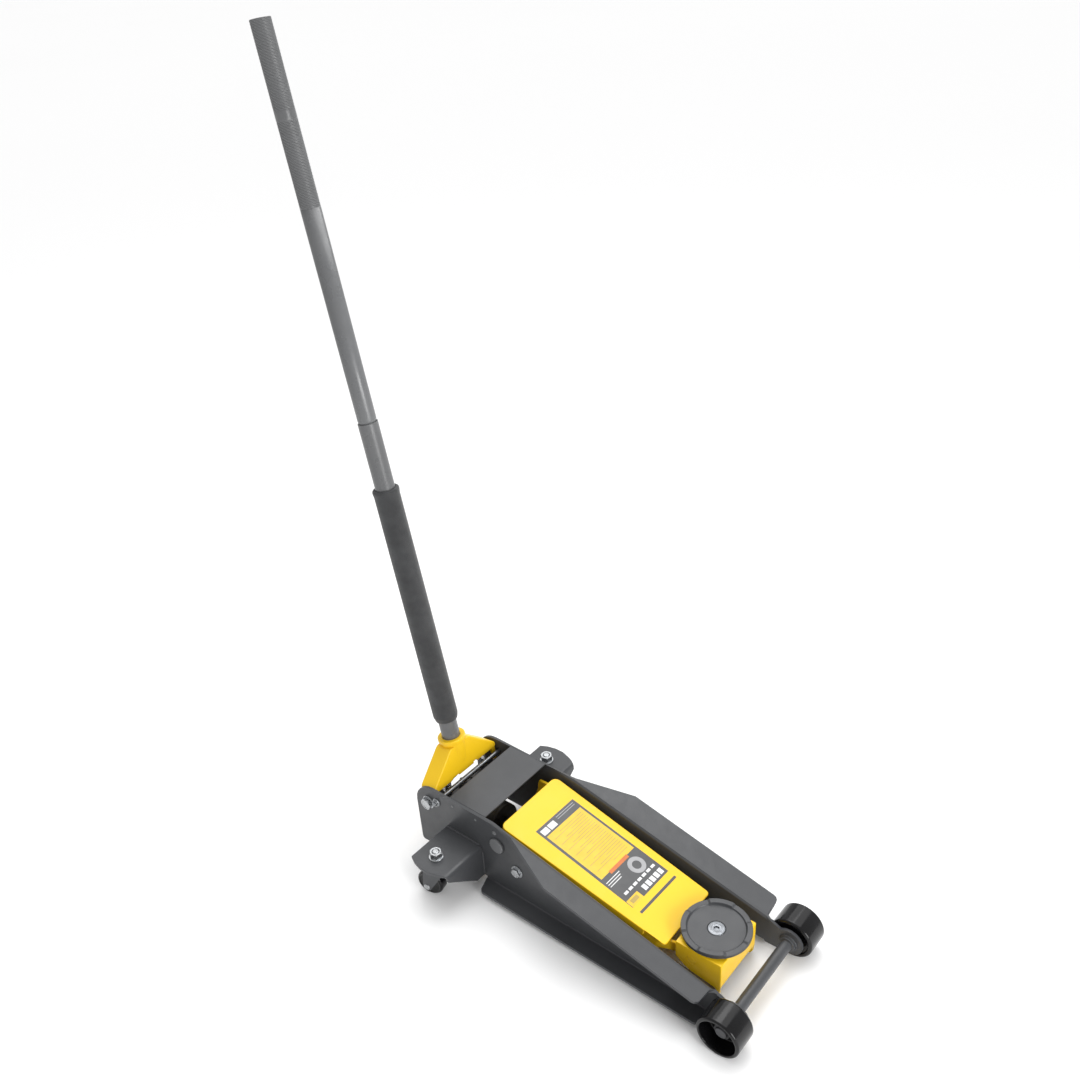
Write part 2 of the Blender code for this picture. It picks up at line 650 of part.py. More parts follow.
def make_casters(jack):
    wheel_at = (-CASTER_TRAIL, 0.0, CASTER_RADIUS)
    rim = CASTER_RADIUS
    hub = FORK_HALF_WIDTH - FORK_SHEET - 0.0005
    pin = 0.004
    disc = CASTER_HALF_WIDTH - 0.002
    half = [(bore_for(pin, 20), hub), (0.008, hub), (0.008, disc), (rim - 0.006, disc),
            (rim - 0.0035, CASTER_HALF_WIDTH), (rim, CASTER_HALF_WIDTH - 0.003)]
    wheel_profile = half + [(radius, -y) for radius, y in reversed(half)]
    head = FORK_HALF_WIDTH + GAP
    pin_half = [(pin, head), (0.0065, head), (0.0050, FORK_HALF_WIDTH + 0.002)]
    pin_profile = [(radius, -y) for radius, y in reversed(pin_half)] + pin_half
    for name, side in SIDES:
        at = (CASTER_AT[0], side * CASTER_AT[1], 0.0)
        swivel = joint_frame("caster_swivel_" + name, jack, at, (0.0, 0.0, CASTER_TURN))
        fork = piece("caster_fork_" + name, fork_sheet(), "grey_paint", swivel)
        soften_folds(fork, 0.004)
        sheet_metal(fork, FORK_SHEET)
        bore = bore_for(KINGPIN_RADIUS, 12)
        kingpin = turned([(bore, FORK_TOP - 2 * FORK_SHEET), (bore, FORK_TOP + FORK_SHEET)], 12)
        boolean(fork, tool("fork_kingpin_hole_" + name, kingpin, swivel), "DIFFERENCE")
        across = FORK_HALF_WIDTH + FORK_SHEET
        hole = turned([(bore_for(pin, 12), -across), (bore_for(pin, 12), across)], 12, across="Y")
        boolean(fork, tool("fork_axle_hole_" + name, hole, swivel, wheel_at), "DIFFERENCE")
        axle = turned(pin_profile, 12, across="Y")
        piece("caster_axle_" + name, axle, "zinc", swivel, wheel_at, smooth=True)
        axis = joint_frame("caster_wheel_axis_" + name, swivel, wheel_at)
        wheel = turned(wheel_profile, 20, across="Y", hollow=True)
        piece("caster_wheel_" + name, wheel, "black_gloss", axis, smooth=True)


# ---------------------------------------------------------------- lifting arm

def relative(point, origin):
    """A point of the (x, z) plane seen from a joint's frame."""
    return (point[0] - origin[0], point[1] - origin[1])


def arm_half_width(x):
    """Outer half width of the arm's top plate at x."""
    reach = (x - ARM_REAR[0]) / (ARM_LENGTH * cos(ARM_SLOPE))
    return ARM_HALF_REAR + (ARM_HALF_FRONT - ARM_HALF_REAR) * reach


def arm_plate_sheet():
    """The arm's top plate in its own frame, X down its slope: a deck with a lip along its sides and rear."""
    bm = bmesh.new()

    def width(s):
        return ARM_HALF_REAR + (ARM_HALF_FRONT - ARM_HALF_REAR) * s / ARM_LENGTH

    front_at = (ARM_LENGTH - ARM_FRONT_CORNER, width(ARM_LENGTH) - ARM_FRONT_CORNER)
    front = arc(front_at, ARM_FRONT_CORNER, 0.0, 90.0, 2)
    rear = arc((ARM_REAR_CORNER, width(0.0) - ARM_REAR_CORNER), ARM_REAR_CORNER, 90.0, 180.0, 4)
    left = front + [(ARM_LIP_LENGTH, width(ARM_LIP_LENGTH))] + rear
    outline = left + [(s, -t) for s, t in reversed(left)]
    deck = [bm.verts.new((s, t, 0.0)) for s, t in outline]
    bm.faces.new(deck)
    first = len(front)
    last = len(outline) - len(front)
    edge = deck[first:last]
    lip = [bm.verts.new((vert.co.x, vert.co.y, -ARM_LIP)) for vert in edge]
    for i in range(len(edge) - 1):
        bm.faces.new((edge[i], edge[i + 1], lip[i + 1], lip[i]))
    bmesh.ops.recalc_face_normals(bm, faces=bm.faces)
    if max(bm.faces, key=lambda face: face.calc_area()).normal.z < 0.0:
        bmesh.ops.reverse_faces(bm, faces=bm.faces)
    return bm


def cheek_outline():
    """Outline of an arm cheek: an ear about the arm pin, a crank lobe below it and an eye at the saddle."""
    def under_deck(x):
        return ARM_REAR[1] - (x - ARM_REAR[0]) * tan(ARM_SLOPE) - (ARM_SHEET + GAP) / cos(ARM_SLOPE)

    deck_rear = ARM_REAR[0] + ARM_REAR_CORNER + 0.001
    lip_low = ARM_REAR[1] - ARM_LIP - 0.0035
    lobe = arc(CRANK_PIN, CRANK_LOBE, 150.0, 355.0, 8)
    belly = [(ARM_PIVOT[0] + 0.012, ARM_PIVOT[1] - 0.027), (-0.400, 0.0875), (-0.170, 0.0545)]
    eye = arc(SADDLE_PIVOT, CHEEK_EYE, -110.0, 98.0, 8)
    deck = [(-0.118, 0.0655), (-0.132, under_deck(-0.132) - 0.0035), (-0.150, under_deck(-0.150)),
            (deck_rear, under_deck(deck_rear)), (deck_rear, lip_low)]
    ear = [p for p in arc(ARM_PIVOT, CHEEK_EAR, 130.0, 185.0, 5) if p[1] < lip_low]
    return lobe + belly + eye + deck + ear


def make_arm(jack):
    arm = joint_frame("arm_axis", jack, (ARM_PIVOT[0], 0.0, ARM_PIVOT[1]))
    deck_at = relative(ARM_REAR, ARM_PIVOT)
    deck = piece("arm_top_plate", arm_plate_sheet(), "yellow_paint", arm, (deck_at[0], 0.0, deck_at[1]))
    deck.rotation_euler = (0.0, ARM_SLOPE, 0.0)
    sheet_metal(deck, ARM_SHEET)

    rear_out = arm_half_width(ARM_REAR[0]) - ARM_SHEET - GAP
    taper_end = arm_half_width(CHEEK_JOGGLE[0]) - ARM_SHEET - GAP
    front_out = BRACKET_HALF - BRACKET_WALL - RUN
    shifts = zip((ARM_REAR[0], *CHEEK_JOGGLE), (rear_out, taper_end, front_out))
    stations = [(x - ARM_PIVOT[0], out - rear_out) for x, out in shifts]
    outline = [relative(point, ARM_PIVOT) for point in cheek_outline()]
    saddle = relative(SADDLE_PIVOT, ARM_PIVOT)
    crank = relative(CRANK_PIN, ARM_PIVOT)
    holes = [(0.0, 0.0, bore_for(ARM_PIN_RADIUS, 12)), (*saddle, bore_for(SADDLE_PIN_RADIUS, 12)),
             (*crank, bore_for(CRANK_PIN_RADIUS, 12))]
    for name, side in SIDES:
        cheek = slab(outline, rear_out - CHEEK_SHEET, rear_out, "Y", holes)
        shift_sideways(cheek, stations)
        piece("arm_cheek_" + name, mirrored(cheek, side), "yellow_paint", arm)

    reach = rear_out + 0.0015
    pin = turned([(CRANK_PIN_RADIUS, -reach), (CRANK_PIN_RADIUS, reach)], 12, across="Y")
    piece("crank_pin", pin, "steel", arm, (crank[0], 0.0, crank[1]), smooth=True)
    half = THRUST_HALF + 0.003
    bore = bore_for(CRANK_PIN_RADIUS, 16)
    bush = turned([(bore, -half), (CRANK_BUSH_RADIUS, -half), (CRANK_BUSH_RADIUS, half), (bore, half)],
                  16, across="Y", hollow=True)
    piece("crank_bush", bush, "steel", arm, (crank[0], 0.0, crank[1]), smooth=True)
    return arm


def make_arm_pivot(jack):
    face = WEB_OUT + GAP
    half = [(ARM_PIN_RADIUS, face), (ARM_PIN_HEAD, face), (ARM_PIN_HEAD, face + 0.004),
            (ARM_PIN_HEAD - HEAD_EDGE, face + 0.005)]
    profile = [(radius, -y) for radius, y in reversed(half)] + half
    at = (ARM_PIVOT[0], 0.0, ARM_PIVOT[1])
    piece("arm_pivot_pin", turned(profile, 20, across="Y"), "grey_paint", jack, at, smooth=True)
    inner = arm_half_width(ARM_REAR[0]) - ARM_SHEET - GAP + 0.0005
    outer = WEB_IN - GAP
    bore = bore_for(ARM_PIN_RADIUS, 16)
    rim = ARM_PIN_RADIUS + 0.005
    for name, side in SIDES:
        profile = [(bore, inner), (rim, inner), (rim, outer), (bore, outer)]
        spacer = turned([(radius, side * y) for radius, y in profile], 16, across="Y", hollow=True)
        piece("arm_spacer_" + name, spacer, "steel", jack, at, smooth=True)


# ---------------------------------------------------------------- saddle and links

def saddle_bracket_sheet():
    """The saddle's bracket as an open sheet about its pin: a deck, two lobed sides and a front apron."""
    bm = bmesh.new()
    origin = SADDLE_PIVOT
    half = BRACKET_HALF

    def vert(x, y, z):
        return bm.verts.new((x - origin[0], y, z - origin[1]))

    top = {}
    apron = {}
    for side in (1, -1):
        top["rear", side] = vert(BRACKET_BACK, side * half, BRACKET_DECK)
        top["front", side] = vert(BRACKET_NOSE, side * half, BRACKET_DECK)
        apron[side] = vert(BRACKET_NOSE, side * half, BRACKET_APRON)
    bm.faces.new((top["rear", 1], top["rear", -1], top["front", -1], top["front", 1]))
    bm.faces.new((top["front", 1], top["front", -1], apron[-1], apron[1]))
    lobe = arc(LINK_FRONT, LINK_LOBE, 210.0, 370.0, 6)
    for side in (1, -1):
        path = [(BRACKET_BACK, 0.050), (-0.114, 0.0395)] + lobe
        verts = [vert(x, side * half, z) for x, z in path]
        bm.faces.new([top["front", side], top["rear", side]] + verts + [apron[side]])
    bmesh.ops.recalc_face_normals(bm, faces=bm.faces)
    if max(bm.faces, key=lambda face: face.calc_center_median().z).normal.z < 0.0:
        bmesh.ops.reverse_faces(bm, faces=bm.faces)
    return bm


def make_saddle_bracket(arm):
    at = relative(SADDLE_PIVOT, ARM_PIVOT)
    axis = joint_frame("saddle_axis", arm, (at[0], 0.0, at[1]))
    bracket = piece("saddle_bracket", saddle_bracket_sheet(), "yellow_paint", axis)
    soften_folds(bracket, 0.006)
    sheet_metal(bracket, BRACKET_WALL)
    link = relative(LINK_FRONT, SADDLE_PIVOT)
    reach = BRACKET_HALF + BRACKET_WALL
    for name, (x, z), radius in (("saddle", (0.0, 0.0), SADDLE_PIN_RADIUS), ("link", link, LINK_PIN_RADIUS)):
        bore = bore_for(radius, 12)
        hole = turned([(bore, -reach), (bore, reach)], 12, across="Y")
        boolean(bracket, tool("bracket_%s_hole" % name, hole, axis, (x, 0.0, z)), "DIFFERENCE")
    hub = relative((SADDLE_AT, BRACKET_DECK), SADDLE_PIVOT)
    bore = bore_for(SADDLE_HUB, 16)
    hole = turned([(bore, -2 * BRACKET_WALL), (bore, BRACKET_WALL)], 16)
    boolean(bracket, tool("bracket_hub_hole", hole, axis, (hub[0], 0.0, hub[1])), "DIFFERENCE")

    pin = turned([(SADDLE_PIN_RADIUS, -BRACKET_HALF), (SADDLE_PIN_RADIUS, BRACKET_HALF)], 12, across="Y")
    piece("saddle_pin", pin, "steel", axis, smooth=True)
    end = BRACKET_HALF + RUN + LINK_SHEET + 0.002
    pin = turned([(LINK_PIN_RADIUS, -end), (LINK_PIN_RADIUS, end)], 12, across="Y")
    piece("link_front_pin", pin, "zinc", axis, (link[0], 0.0, link[1]), smooth=True)
    return axis


def rim_height(index, count):
    """Four raised and four lower segments round the rim; `index` of `count` points round it."""
    segment = index * 8 // count
    return 0.0 if segment % 2 else SADDLE_STEP


def saddle_ring(radius, height, count, stepped=False):
    """A ring of the saddle. Points near a step close up to it, so that the segments' ends stand steep."""
    per = count // 8
    points = []
    for i in range(count):
        segment, place = divmod(i, per)
        share = (0.06 + 0.88 * place / (per - 1)) / 8.0
        a = 2.0 * pi * (segment / 8.0 + share)
        lift = rim_height(i, count) if stepped else 0.0
        points.append((radius * cos(a), radius * sin(a), height + lift))
    return points


def make_saddle(axis):
    deck = relative((SADDLE_AT, 0.0), SADDLE_PIVOT)
    swivel = joint_frame("saddle_swivel", axis, (deck[0], 0.0, deck[1]))
    count = 32
    seat = BRACKET_DECK + GAP
    low = SADDLE_RIM - SADDLE_STEP
    bore = 0.0055
    foot = BRACKET_DECK - BRACKET_WALL - 0.006
    recess = SADDLE_FLOOR - 0.0036
    rows = [(bore, foot), (SADDLE_HUB, foot), (SADDLE_HUB, seat), (SADDLE_RADIUS - 0.0241, seat),
            (SADDLE_RADIUS - 0.004, seat + 0.0022),
            (SADDLE_RADIUS, seat + 0.0055), (SADDLE_RADIUS, low, True), (SADDLE_DISH, low, True),
            (SADDLE_DISH - 0.0015, SADDLE_FLOOR), (SADDLE_SCREW + GAP, SADDLE_FLOOR),
            (SADDLE_SCREW + GAP, recess), (bore, recess)]
    rings = [saddle_ring(radius, height, count, *step) for radius, height, *step in rows]
    piece("saddle_plate", loft(rings, hollow=True), "grey_paint", swivel, smooth=True)
    head = recess + GAP
    screw = [(0.005, foot - 0.002), (0.005, head), (SADDLE_SCREW, head), (SADDLE_SCREW, SADDLE_FLOOR),
             (SADDLE_SCREW - 0.0006, SADDLE_FLOOR + 0.0005), (0.0052, SADDLE_FLOOR + 0.0005, 6),
             (0.0052, head + 0.0004, 6)]
    piece("saddle_screw", turned(screw, 18), "zinc", swivel, smooth=True)


def make_links(jack):
    axis = joint_frame("link_axis", jack, (LINK_PIVOT[0], 0.0, LINK_PIVOT[1]))
    end = relative(LINK_FRONT, LINK_PIVOT)
    outline = capsule((0.0, 0.0), end, LINK_WIDTH / 2.0, 5)
    rear_y = WEB_IN - RUN - LINK_SHEET
    front_y = BRACKET_HALF + RUN
    stations = [(0.060, 0.0), (end[0] - 0.045, front_y - rear_y)]
    holes = [(0.0, 0.0, bore_for(LINK_PIN_RADIUS, 12)), (*end, bore_for(LINK_PIN_RADIUS, 12))]
    for name, side in SIDES:
        bar = shift_sideways(slab(outline, rear_y, rear_y + LINK_SHEET, "Y", holes), stations)
        piece("levelling_link_" + name, mirrored(bar, side), "steel", axis)
        bolt = hex_bolt(LINK_BOLT, WEB_OUT + GAP, side, LINK_PIN_RADIUS, rear_y - 0.001)
        piece("link_bolt_" + name, bolt, "zinc", jack, (LINK_PIVOT[0], 0.0, LINK_PIVOT[1]))


# ---------------------------------------------------------------- power unit

def make_pump_block(jack):
    """The casting behind the ram: a body between the side plates with an ear up to each yoke bolt."""
    height = YOKE_PIVOT[1]
    inner = BLOCK_HALF - BLOCK_EAR
    body = [(-BLOCK_HALF, BLOCK_BOTTOM + 0.006), (-BLOCK_HALF + 0.006, BLOCK_BOTTOM),
            (BLOCK_HALF - 0.006, BLOCK_BOTTOM), (BLOCK_HALF, BLOCK_BOTTOM + 0.006),
            (BLOCK_HALF, BLOCK_TOP), (-BLOCK_HALF, BLOCK_TOP)]
    block = piece("pump_block", slab(body, BLOCK_BACK, BLOCK_FRONT, "X"), "black_cast", jack)
    foot = BLOCK_TOP - 0.006
    half = BLOCK_EAR_RADIUS
    ear = [(YOKE_PIVOT[0] - half, foot), (YOKE_PIVOT[0] + half, foot)] + arc(YOKE_PIVOT, half, 0.0, 180.0, 6)
    for name, side in SIDES:
        bm = slab(ear, side * inner, side * (BLOCK_HALF - 0.0005), "Y")
        boolean(block, tool("block_ear_" + name, bm, jack), "UNION")
        radius = bore_for(YOKE_BOLT_RADIUS, 12)
        bore = turned([(radius, side * (inner - 0.004)), (radius, side * WEB_IN)], 12, across="Y")
        boolean(block, tool("block_bolt_hole_" + name, bore, jack, (YOKE_PIVOT[0], 0.0, height)), "DIFFERENCE")
    bore = CYLINDER_RADIUS + GAP
    hole = turned([(bore, CYLINDER_BACK - 0.001), (bore, BLOCK_FRONT + 0.004)], 16, across="X")
    boolean(block, tool("block_ram_bore", hole, jack, (0.0, 0.0, RAM_HEIGHT)), "DIFFERENCE")
    top = BLOCK_TOP + 0.004
    for name, (x, y), radius, depth in (("plunger", plunger_place(), PLUNGER_RADIUS, 0.029),
                                        ("valve", (YOKE_PIVOT[0], 0.0), VALVE_RADIUS, 0.012)):
        bore = bore_for(radius, 12)
        hole = turned([(bore, BLOCK_TOP - depth), (bore, top)], 12)
        boolean(block, tool("block_%s_bore" % name, hole, jack, (x, y, 0.0)), "DIFFERENCE")


def plunger_place():
    """The plunger stands under the yoke's cam, behind the yoke's pivot."""
    return (YOKE_PIVOT[0] - PLUNGER_THROW * cos(PLUNGER_SWING), PLUNGER_Y)


def plunger_top():
    return YOKE_PIVOT[1] + PLUNGER_THROW * sin(PLUNGER_SWING) - CAM_RADIUS - PLUNGER_CLEAR


def make_power_unit(jack):
    make_pump_block(jack)
    start = BLOCK_FRONT + GAP
    end = GLAND_FRONT - GLAND_LENGTH - GAP
    centre = (0.0, 0.0, RAM_HEIGHT)
    inner = TANK_RADIUS - TANK_WALL
    tank = [(inner, start), (TANK_RADIUS, start), (TANK_RADIUS, end), (inner, end)]
    piece("oil_reservoir", turned(tank, 20, across="X", hollow=True), "black_cast", jack, centre, smooth=True)
    bore = RAM_RADIUS + GAP
    barrel = [(bore, CYLINDER_BACK), (CYLINDER_RADIUS, CYLINDER_BACK), (CYLINDER_RADIUS, end), (bore, end)]
    piece("ram_cylinder", turned(barrel, 16, across="X", hollow=True), "steel", jack, centre, smooth=True)
    bore = bore_for(RAM_RADIUS, 20)
    gland = [(bore, GLAND_FRONT - GLAND_LENGTH), (TANK_RADIUS, GLAND_FRONT - GLAND_LENGTH),
             (TANK_RADIUS, GLAND_FRONT - 0.0015), (TANK_RADIUS - 0.0015, GLAND_FRONT), (bore, GLAND_FRONT)]
    piece("cylinder_gland", turned(gland, 20, across="X", hollow=True), "zinc", jack, centre, smooth=True)
    plug_base = BLOCK_TOP + GAP
    plug = [(0.0075, plug_base), (0.0075, plug_base + 0.0015), (0.0065, plug_base + 0.0015, 6),
            (0.0065, plug_base + 0.006, 6)]
    piece("filler_plug", turned(plug, 12), "zinc", jack, (YOKE_PIVOT[0], -PLUNGER_Y, 0.0))

    ram = joint_frame("ram_axis", jack, (THRUST_FACE, 0.0, RAM_HEIGHT))
    back = CYLINDER_BACK + 0.003 - THRUST_FACE
    rod = turned([(RAM_RADIUS, back), (RAM_RADIUS, -THRUST_SHEET - GAP)], 16, across="X")
    piece("ram_rod", rod, "chrome", ram, smooth=True)
    half = THRUST_HALF
    plate = slab([(-half, -half), (half, -half), (half, half), (-half, half)], -THRUST_SHEET, 0.0, "X")
    piece("thrust_plate", plate, "steel", ram)

    x, y = plunger_place()
    top = plunger_top()
    plunger = joint_frame("plunger_axis", jack, (x, y, top))
    cap = 0.004
    cap_radius = PLUNGER_RADIUS + 0.0035
    body = [(PLUNGER_RADIUS, BLOCK_TOP - 0.012 - top), (PLUNGER_RADIUS, -cap), (cap_radius, -cap),
            (cap_radius, -0.0015), (PLUNGER_RADIUS, 0.0)]
    piece("pump_plunger", turned(body, 12), "chrome", plunger, smooth=True)
    spring = coil(PLUNGER_RADIUS + 0.002, SPRING_WIRE, BLOCK_TOP + GAP, top - cap - GAP, SPRING_TURNS)
    piece("plunger_spring", spring, "steel", jack, (x, y, 0.0), smooth=True)

    valve = joint_frame("release_axis", jack, (YOKE_PIVOT[0], 0.0, BLOCK_TOP))
    radius = VALVE_RADIUS
    stem = [(radius, -0.011), (radius, 0.001), (radius + 0.003, 0.002), (radius + 0.003, 0.012),
            (radius, 0.014, 6), (radius, 0.020, 6)]
    piece("release_valve", turned(stem, 12), "zinc", valve)


def coil(radius, wire, bottom, top, turns):
    """A compression spring along Z, with its wire's centre line kept inside the two ends."""
    steps = turns * 12
    low = bottom + wire
    rise = (top - wire - low) / steps
    rings = []
    for i in range(steps + 1):
        a = 2.0 * pi * turns * i / steps
        out = Vector((cos(a), sin(a), 0.0))
        centre = out * radius + Vector((0.0, 0.0, low + rise * i))
        ring = [centre + out * (wire * cos(b)) + Vector((0.0, 0.0, wire * sin(b)))
                for b in (2.0 * pi * k / 5 for k in range(5))]
        rings.append(ring)
    return loft(rings)


# ---------------------------------------------------------------- yoke and handle

def oblong_ring(half_x, half_y, height, power, steps):
    """A ring between an ellipse (power 1) and a rectangle (a small power)."""
    points = []
    for i in range(steps):
        a = 2.0 * pi * (i + 0.5) / steps
        x = half_x * abs(cos(a)) ** power * (1 if cos(a) > 0 else -1)
        y = half_y * abs(sin(a)) ** power * (1 if sin(a) > 0 else -1)
        points.append((x, y, height))
    return points


def make_yoke(jack):
    """The handle's socket: a collar, a neck that spreads to both side plates and an ear on each bolt."""
    axis = joint_frame("yoke_axis", jack, (YOKE_PIVOT[0], 0.0, YOKE_PIVOT[1]))
    frame = joint_frame("handle_axis", axis, (0.0, 0.0, 0.0), (0.0, -HANDLE_LEAN, 0.0))
    steps = 24
    wing = WEB_IN - 0.0008
    bore = bore_for(TUBE_RADIUS, steps, 0.0005)
    lip = COLLAR_TOP - COLLAR_HEIGHT
    depth = YOKE_HALF_DEPTH
    wall = YOKE_WALL
    outer = [(COLLAR_RADIUS - 0.0015, COLLAR_RADIUS - 0.0015, COLLAR_TOP, 1.0),
             (COLLAR_RADIUS, COLLAR_RADIUS, COLLAR_TOP - 0.0015, 1.0),
             (COLLAR_RADIUS, COLLAR_RADIUS, lip + 0.001, 1.0), (YOKE_NECK, YOKE_NECK, lip - 0.001, 1.0),
             (YOKE_NECK, YOKE_NECK + 0.003, 0.076, 1.0), (YOKE_NECK - 0.0003, wing * 0.577, 0.0565, 0.8),
             (depth + 0.0015, wing * 0.865, 0.0375, 0.55),
             (depth, wing, 0.0275, 0.35), (depth, wing, YOKE_SKIRT, 0.3)]
    inner = [(depth - wall, wing - wall, YOKE_SKIRT, 0.3), (depth - wall, wing - wall, 0.026, 0.35),
             (depth - 0.0050, wing * 0.721, 0.036, 0.6), (bore, bore, TUBE_SEAT - 0.002, 1.0),
             (bore, bore, COLLAR_TOP, 1.0)]
    rings = [oblong_ring(*row, steps) for row in outer + inner]
    yoke = piece("handle_yoke", loft(rings, hollow=True), "yellow_paint", frame, smooth=True)

    ear_top = YOKE_SKIRT + 0.0085
    for name, side in SIDES:
        outline = arc((0.0, 0.0), YOKE_EAR, 180.0, 360.0, 8)
        outline = outline + [(YOKE_EAR, ear_top), (-YOKE_EAR, ear_top)]
        ear = slab(outline, side * (wing - YOKE_EAR_SHEET), side * (wing - 0.0015), "Y")
        boolean(yoke, tool("yoke_ear_" + name, ear, frame), "UNION", "MANIFOLD")
        radius = bore_for(YOKE_BOLT_RADIUS, 12)
        ends = (side * (wing - 2 * YOKE_EAR_SHEET), side * (wing + 0.004))
        hole = turned([(radius, y) for y in ends], 12, across="Y")
        boolean(yoke, tool("yoke_bolt_hole_" + name, hole, frame), "DIFFERENCE", "MANIFOLD")

    tip_angle = pi - PLUNGER_SWING - HANDLE_LEAN
    tip = (PLUNGER_THROW * cos(tip_angle), PLUNGER_THROW * sin(tip_angle))
    root = 0.040
    finger = arc(tip, CAM_RADIUS, 180.0, 360.0, 6)
    finger += [(tip[0] + CAM_RADIUS, root), (0.002 - YOKE_HALF_DEPTH, root)]
    cam = slab(finger, PLUNGER_Y - CAM_RADIUS, PLUNGER_Y + CAM_RADIUS, "Y")
    boolean(yoke, tool("yoke_cam", cam, frame), "UNION", "MANIFOLD")
    for i, (y, half) in enumerate(((0.026, 0.010), (-0.0225, 0.0195))):
        notch = slab([(y - half, 0.0), (y + half, 0.0), (y + half - 0.003, YOKE_SKIRT + 0.007),
                      (y - half + 0.003, YOKE_SKIRT + 0.007)], depth - wall - 0.004, depth + 0.004, "X")
        boolean(yoke, tool("yoke_notch_%d" % i, notch, frame), "DIFFERENCE", "MANIFOLD")

    shank_end = BLOCK_HALF - BLOCK_EAR + 0.001
    for name, side in SIDES:
        bolt = hex_bolt(YOKE_BOLT, WEB_OUT + GAP, side, YOKE_BOLT_RADIUS, shank_end)
        piece("yoke_bolt_" + name, bolt, "zinc", jack, (YOKE_PIVOT[0], 0.0, YOKE_PIVOT[1]))
    return frame


def make_handle(yoke_frame):
    handle = joint_frame("handle_twist", yoke_frame)
    inner = TUBE_RADIUS - TUBE_WALL
    tube = [(inner, TUBE_SEAT), (TUBE_RADIUS, TUBE_SEAT), (TUBE_RADIUS, TUBE_JOINT), (inner, TUBE_JOINT)]
    piece("handle_lower_tube", turned(tube, 16, hollow=True), "handle_paint", handle, smooth=True)
    neck = inner - GAP
    bore = neck - UPPER_WALL
    tube = [(bore, TUBE_JOINT - UPPER_SWAGE), (neck, TUBE_JOINT - UPPER_SWAGE), (neck, TUBE_JOINT + 0.001),
            (UPPER_RADIUS, TUBE_JOINT + 0.004), (UPPER_RADIUS, HANDLE_TOP), (bore, HANDLE_TOP)]
    piece("handle_upper_tube", turned(tube, 16, hollow=True), "handle_paint", handle, smooth=True)
    bore = TUBE_RADIUS + GAP
    rim = SLEEVE_RADIUS
    sleeve = [(bore, SLEEVE_BOTTOM), (rim - 0.0025, SLEEVE_BOTTOM), (rim, SLEEVE_BOTTOM + 0.010),
              (rim - 0.0008, SLEEVE_TOP - 0.012), (rim + 0.0004, SLEEVE_TOP - 0.003), (rim - 0.0015, SLEEVE_TOP),
              (bore, SLEEVE_TOP)]
    piece("foam_sleeve", turned(sleeve, 16, hollow=True), "foam", handle, smooth=True)
    plug = [(0.0045, 0.010), (0.0045, TUBE_SEAT + 0.008), (neck, TUBE_SEAT + 0.008), (neck, TUBE_SEAT + 0.028)]
    piece("release_drive", turned(plug, 16), "zinc", handle, smooth=True)


# ---------------------------------------------------------------- the whole jack

def main():
    clear_scene()
    jack = joint_frame("jack", None, (-(MODEL_FRONT + MODEL_REAR) / 2.0, 0.0, 0.0))
    make_side_plates(jack)
    make_cover(jack)
    make_tie_rod(jack)
    make_front_axle(jack)
    make_front_wheels(jack)
    make_caster_brackets(jack)
    make_casters(jack)
    make_arm_pivot(jack)
    arm = make_arm(jack)
    saddle_axis = make_saddle_bracket(arm)
    make_saddle(saddle_axis)
    make_links(jack)
    make_power_unit(jack)
    yoke_frame = make_yoke(jack)
    make_handle(yoke_frame)


main()
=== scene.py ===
"""Looks of the hydraulic floor jack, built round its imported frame.

Metres, +X towards the front wheels, +Y to the left, +Z up, in the frame's own coordinates.
"""
import json
from math import ceil, cos, pi, radians, sin, tan

import bmesh
import bpy
from mathutils import Matrix, Vector

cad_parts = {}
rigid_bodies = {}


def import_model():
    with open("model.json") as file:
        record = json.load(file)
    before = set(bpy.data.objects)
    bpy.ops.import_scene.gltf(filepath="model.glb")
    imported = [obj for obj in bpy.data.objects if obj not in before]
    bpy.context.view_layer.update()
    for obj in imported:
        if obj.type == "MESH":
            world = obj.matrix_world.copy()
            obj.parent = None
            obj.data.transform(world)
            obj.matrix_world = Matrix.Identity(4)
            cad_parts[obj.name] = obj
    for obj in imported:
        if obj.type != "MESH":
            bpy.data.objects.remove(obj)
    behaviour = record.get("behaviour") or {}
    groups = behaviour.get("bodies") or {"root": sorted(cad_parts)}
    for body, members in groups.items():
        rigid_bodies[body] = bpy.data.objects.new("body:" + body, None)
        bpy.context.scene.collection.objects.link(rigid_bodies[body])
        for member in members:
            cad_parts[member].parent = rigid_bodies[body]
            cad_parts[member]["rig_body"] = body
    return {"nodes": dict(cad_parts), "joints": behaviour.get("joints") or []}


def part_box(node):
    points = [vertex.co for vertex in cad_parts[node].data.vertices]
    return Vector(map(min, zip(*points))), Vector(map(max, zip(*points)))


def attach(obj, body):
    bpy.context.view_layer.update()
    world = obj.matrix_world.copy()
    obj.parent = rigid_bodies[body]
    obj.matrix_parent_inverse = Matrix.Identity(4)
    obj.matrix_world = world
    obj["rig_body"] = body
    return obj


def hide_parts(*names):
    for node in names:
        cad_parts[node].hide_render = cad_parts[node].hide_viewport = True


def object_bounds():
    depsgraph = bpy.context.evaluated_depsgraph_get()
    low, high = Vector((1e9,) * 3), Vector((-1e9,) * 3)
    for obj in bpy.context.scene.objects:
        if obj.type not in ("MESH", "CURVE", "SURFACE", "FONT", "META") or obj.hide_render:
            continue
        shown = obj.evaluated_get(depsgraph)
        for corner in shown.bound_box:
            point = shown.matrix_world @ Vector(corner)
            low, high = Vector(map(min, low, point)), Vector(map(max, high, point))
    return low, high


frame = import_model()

CAD_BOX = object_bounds()
NODES = frame["nodes"]
JOINTS = {joint["name"]: joint for joint in frame["joints"]}
SIDES = (("left", 1), ("right", -1))
GAP = 0.0003

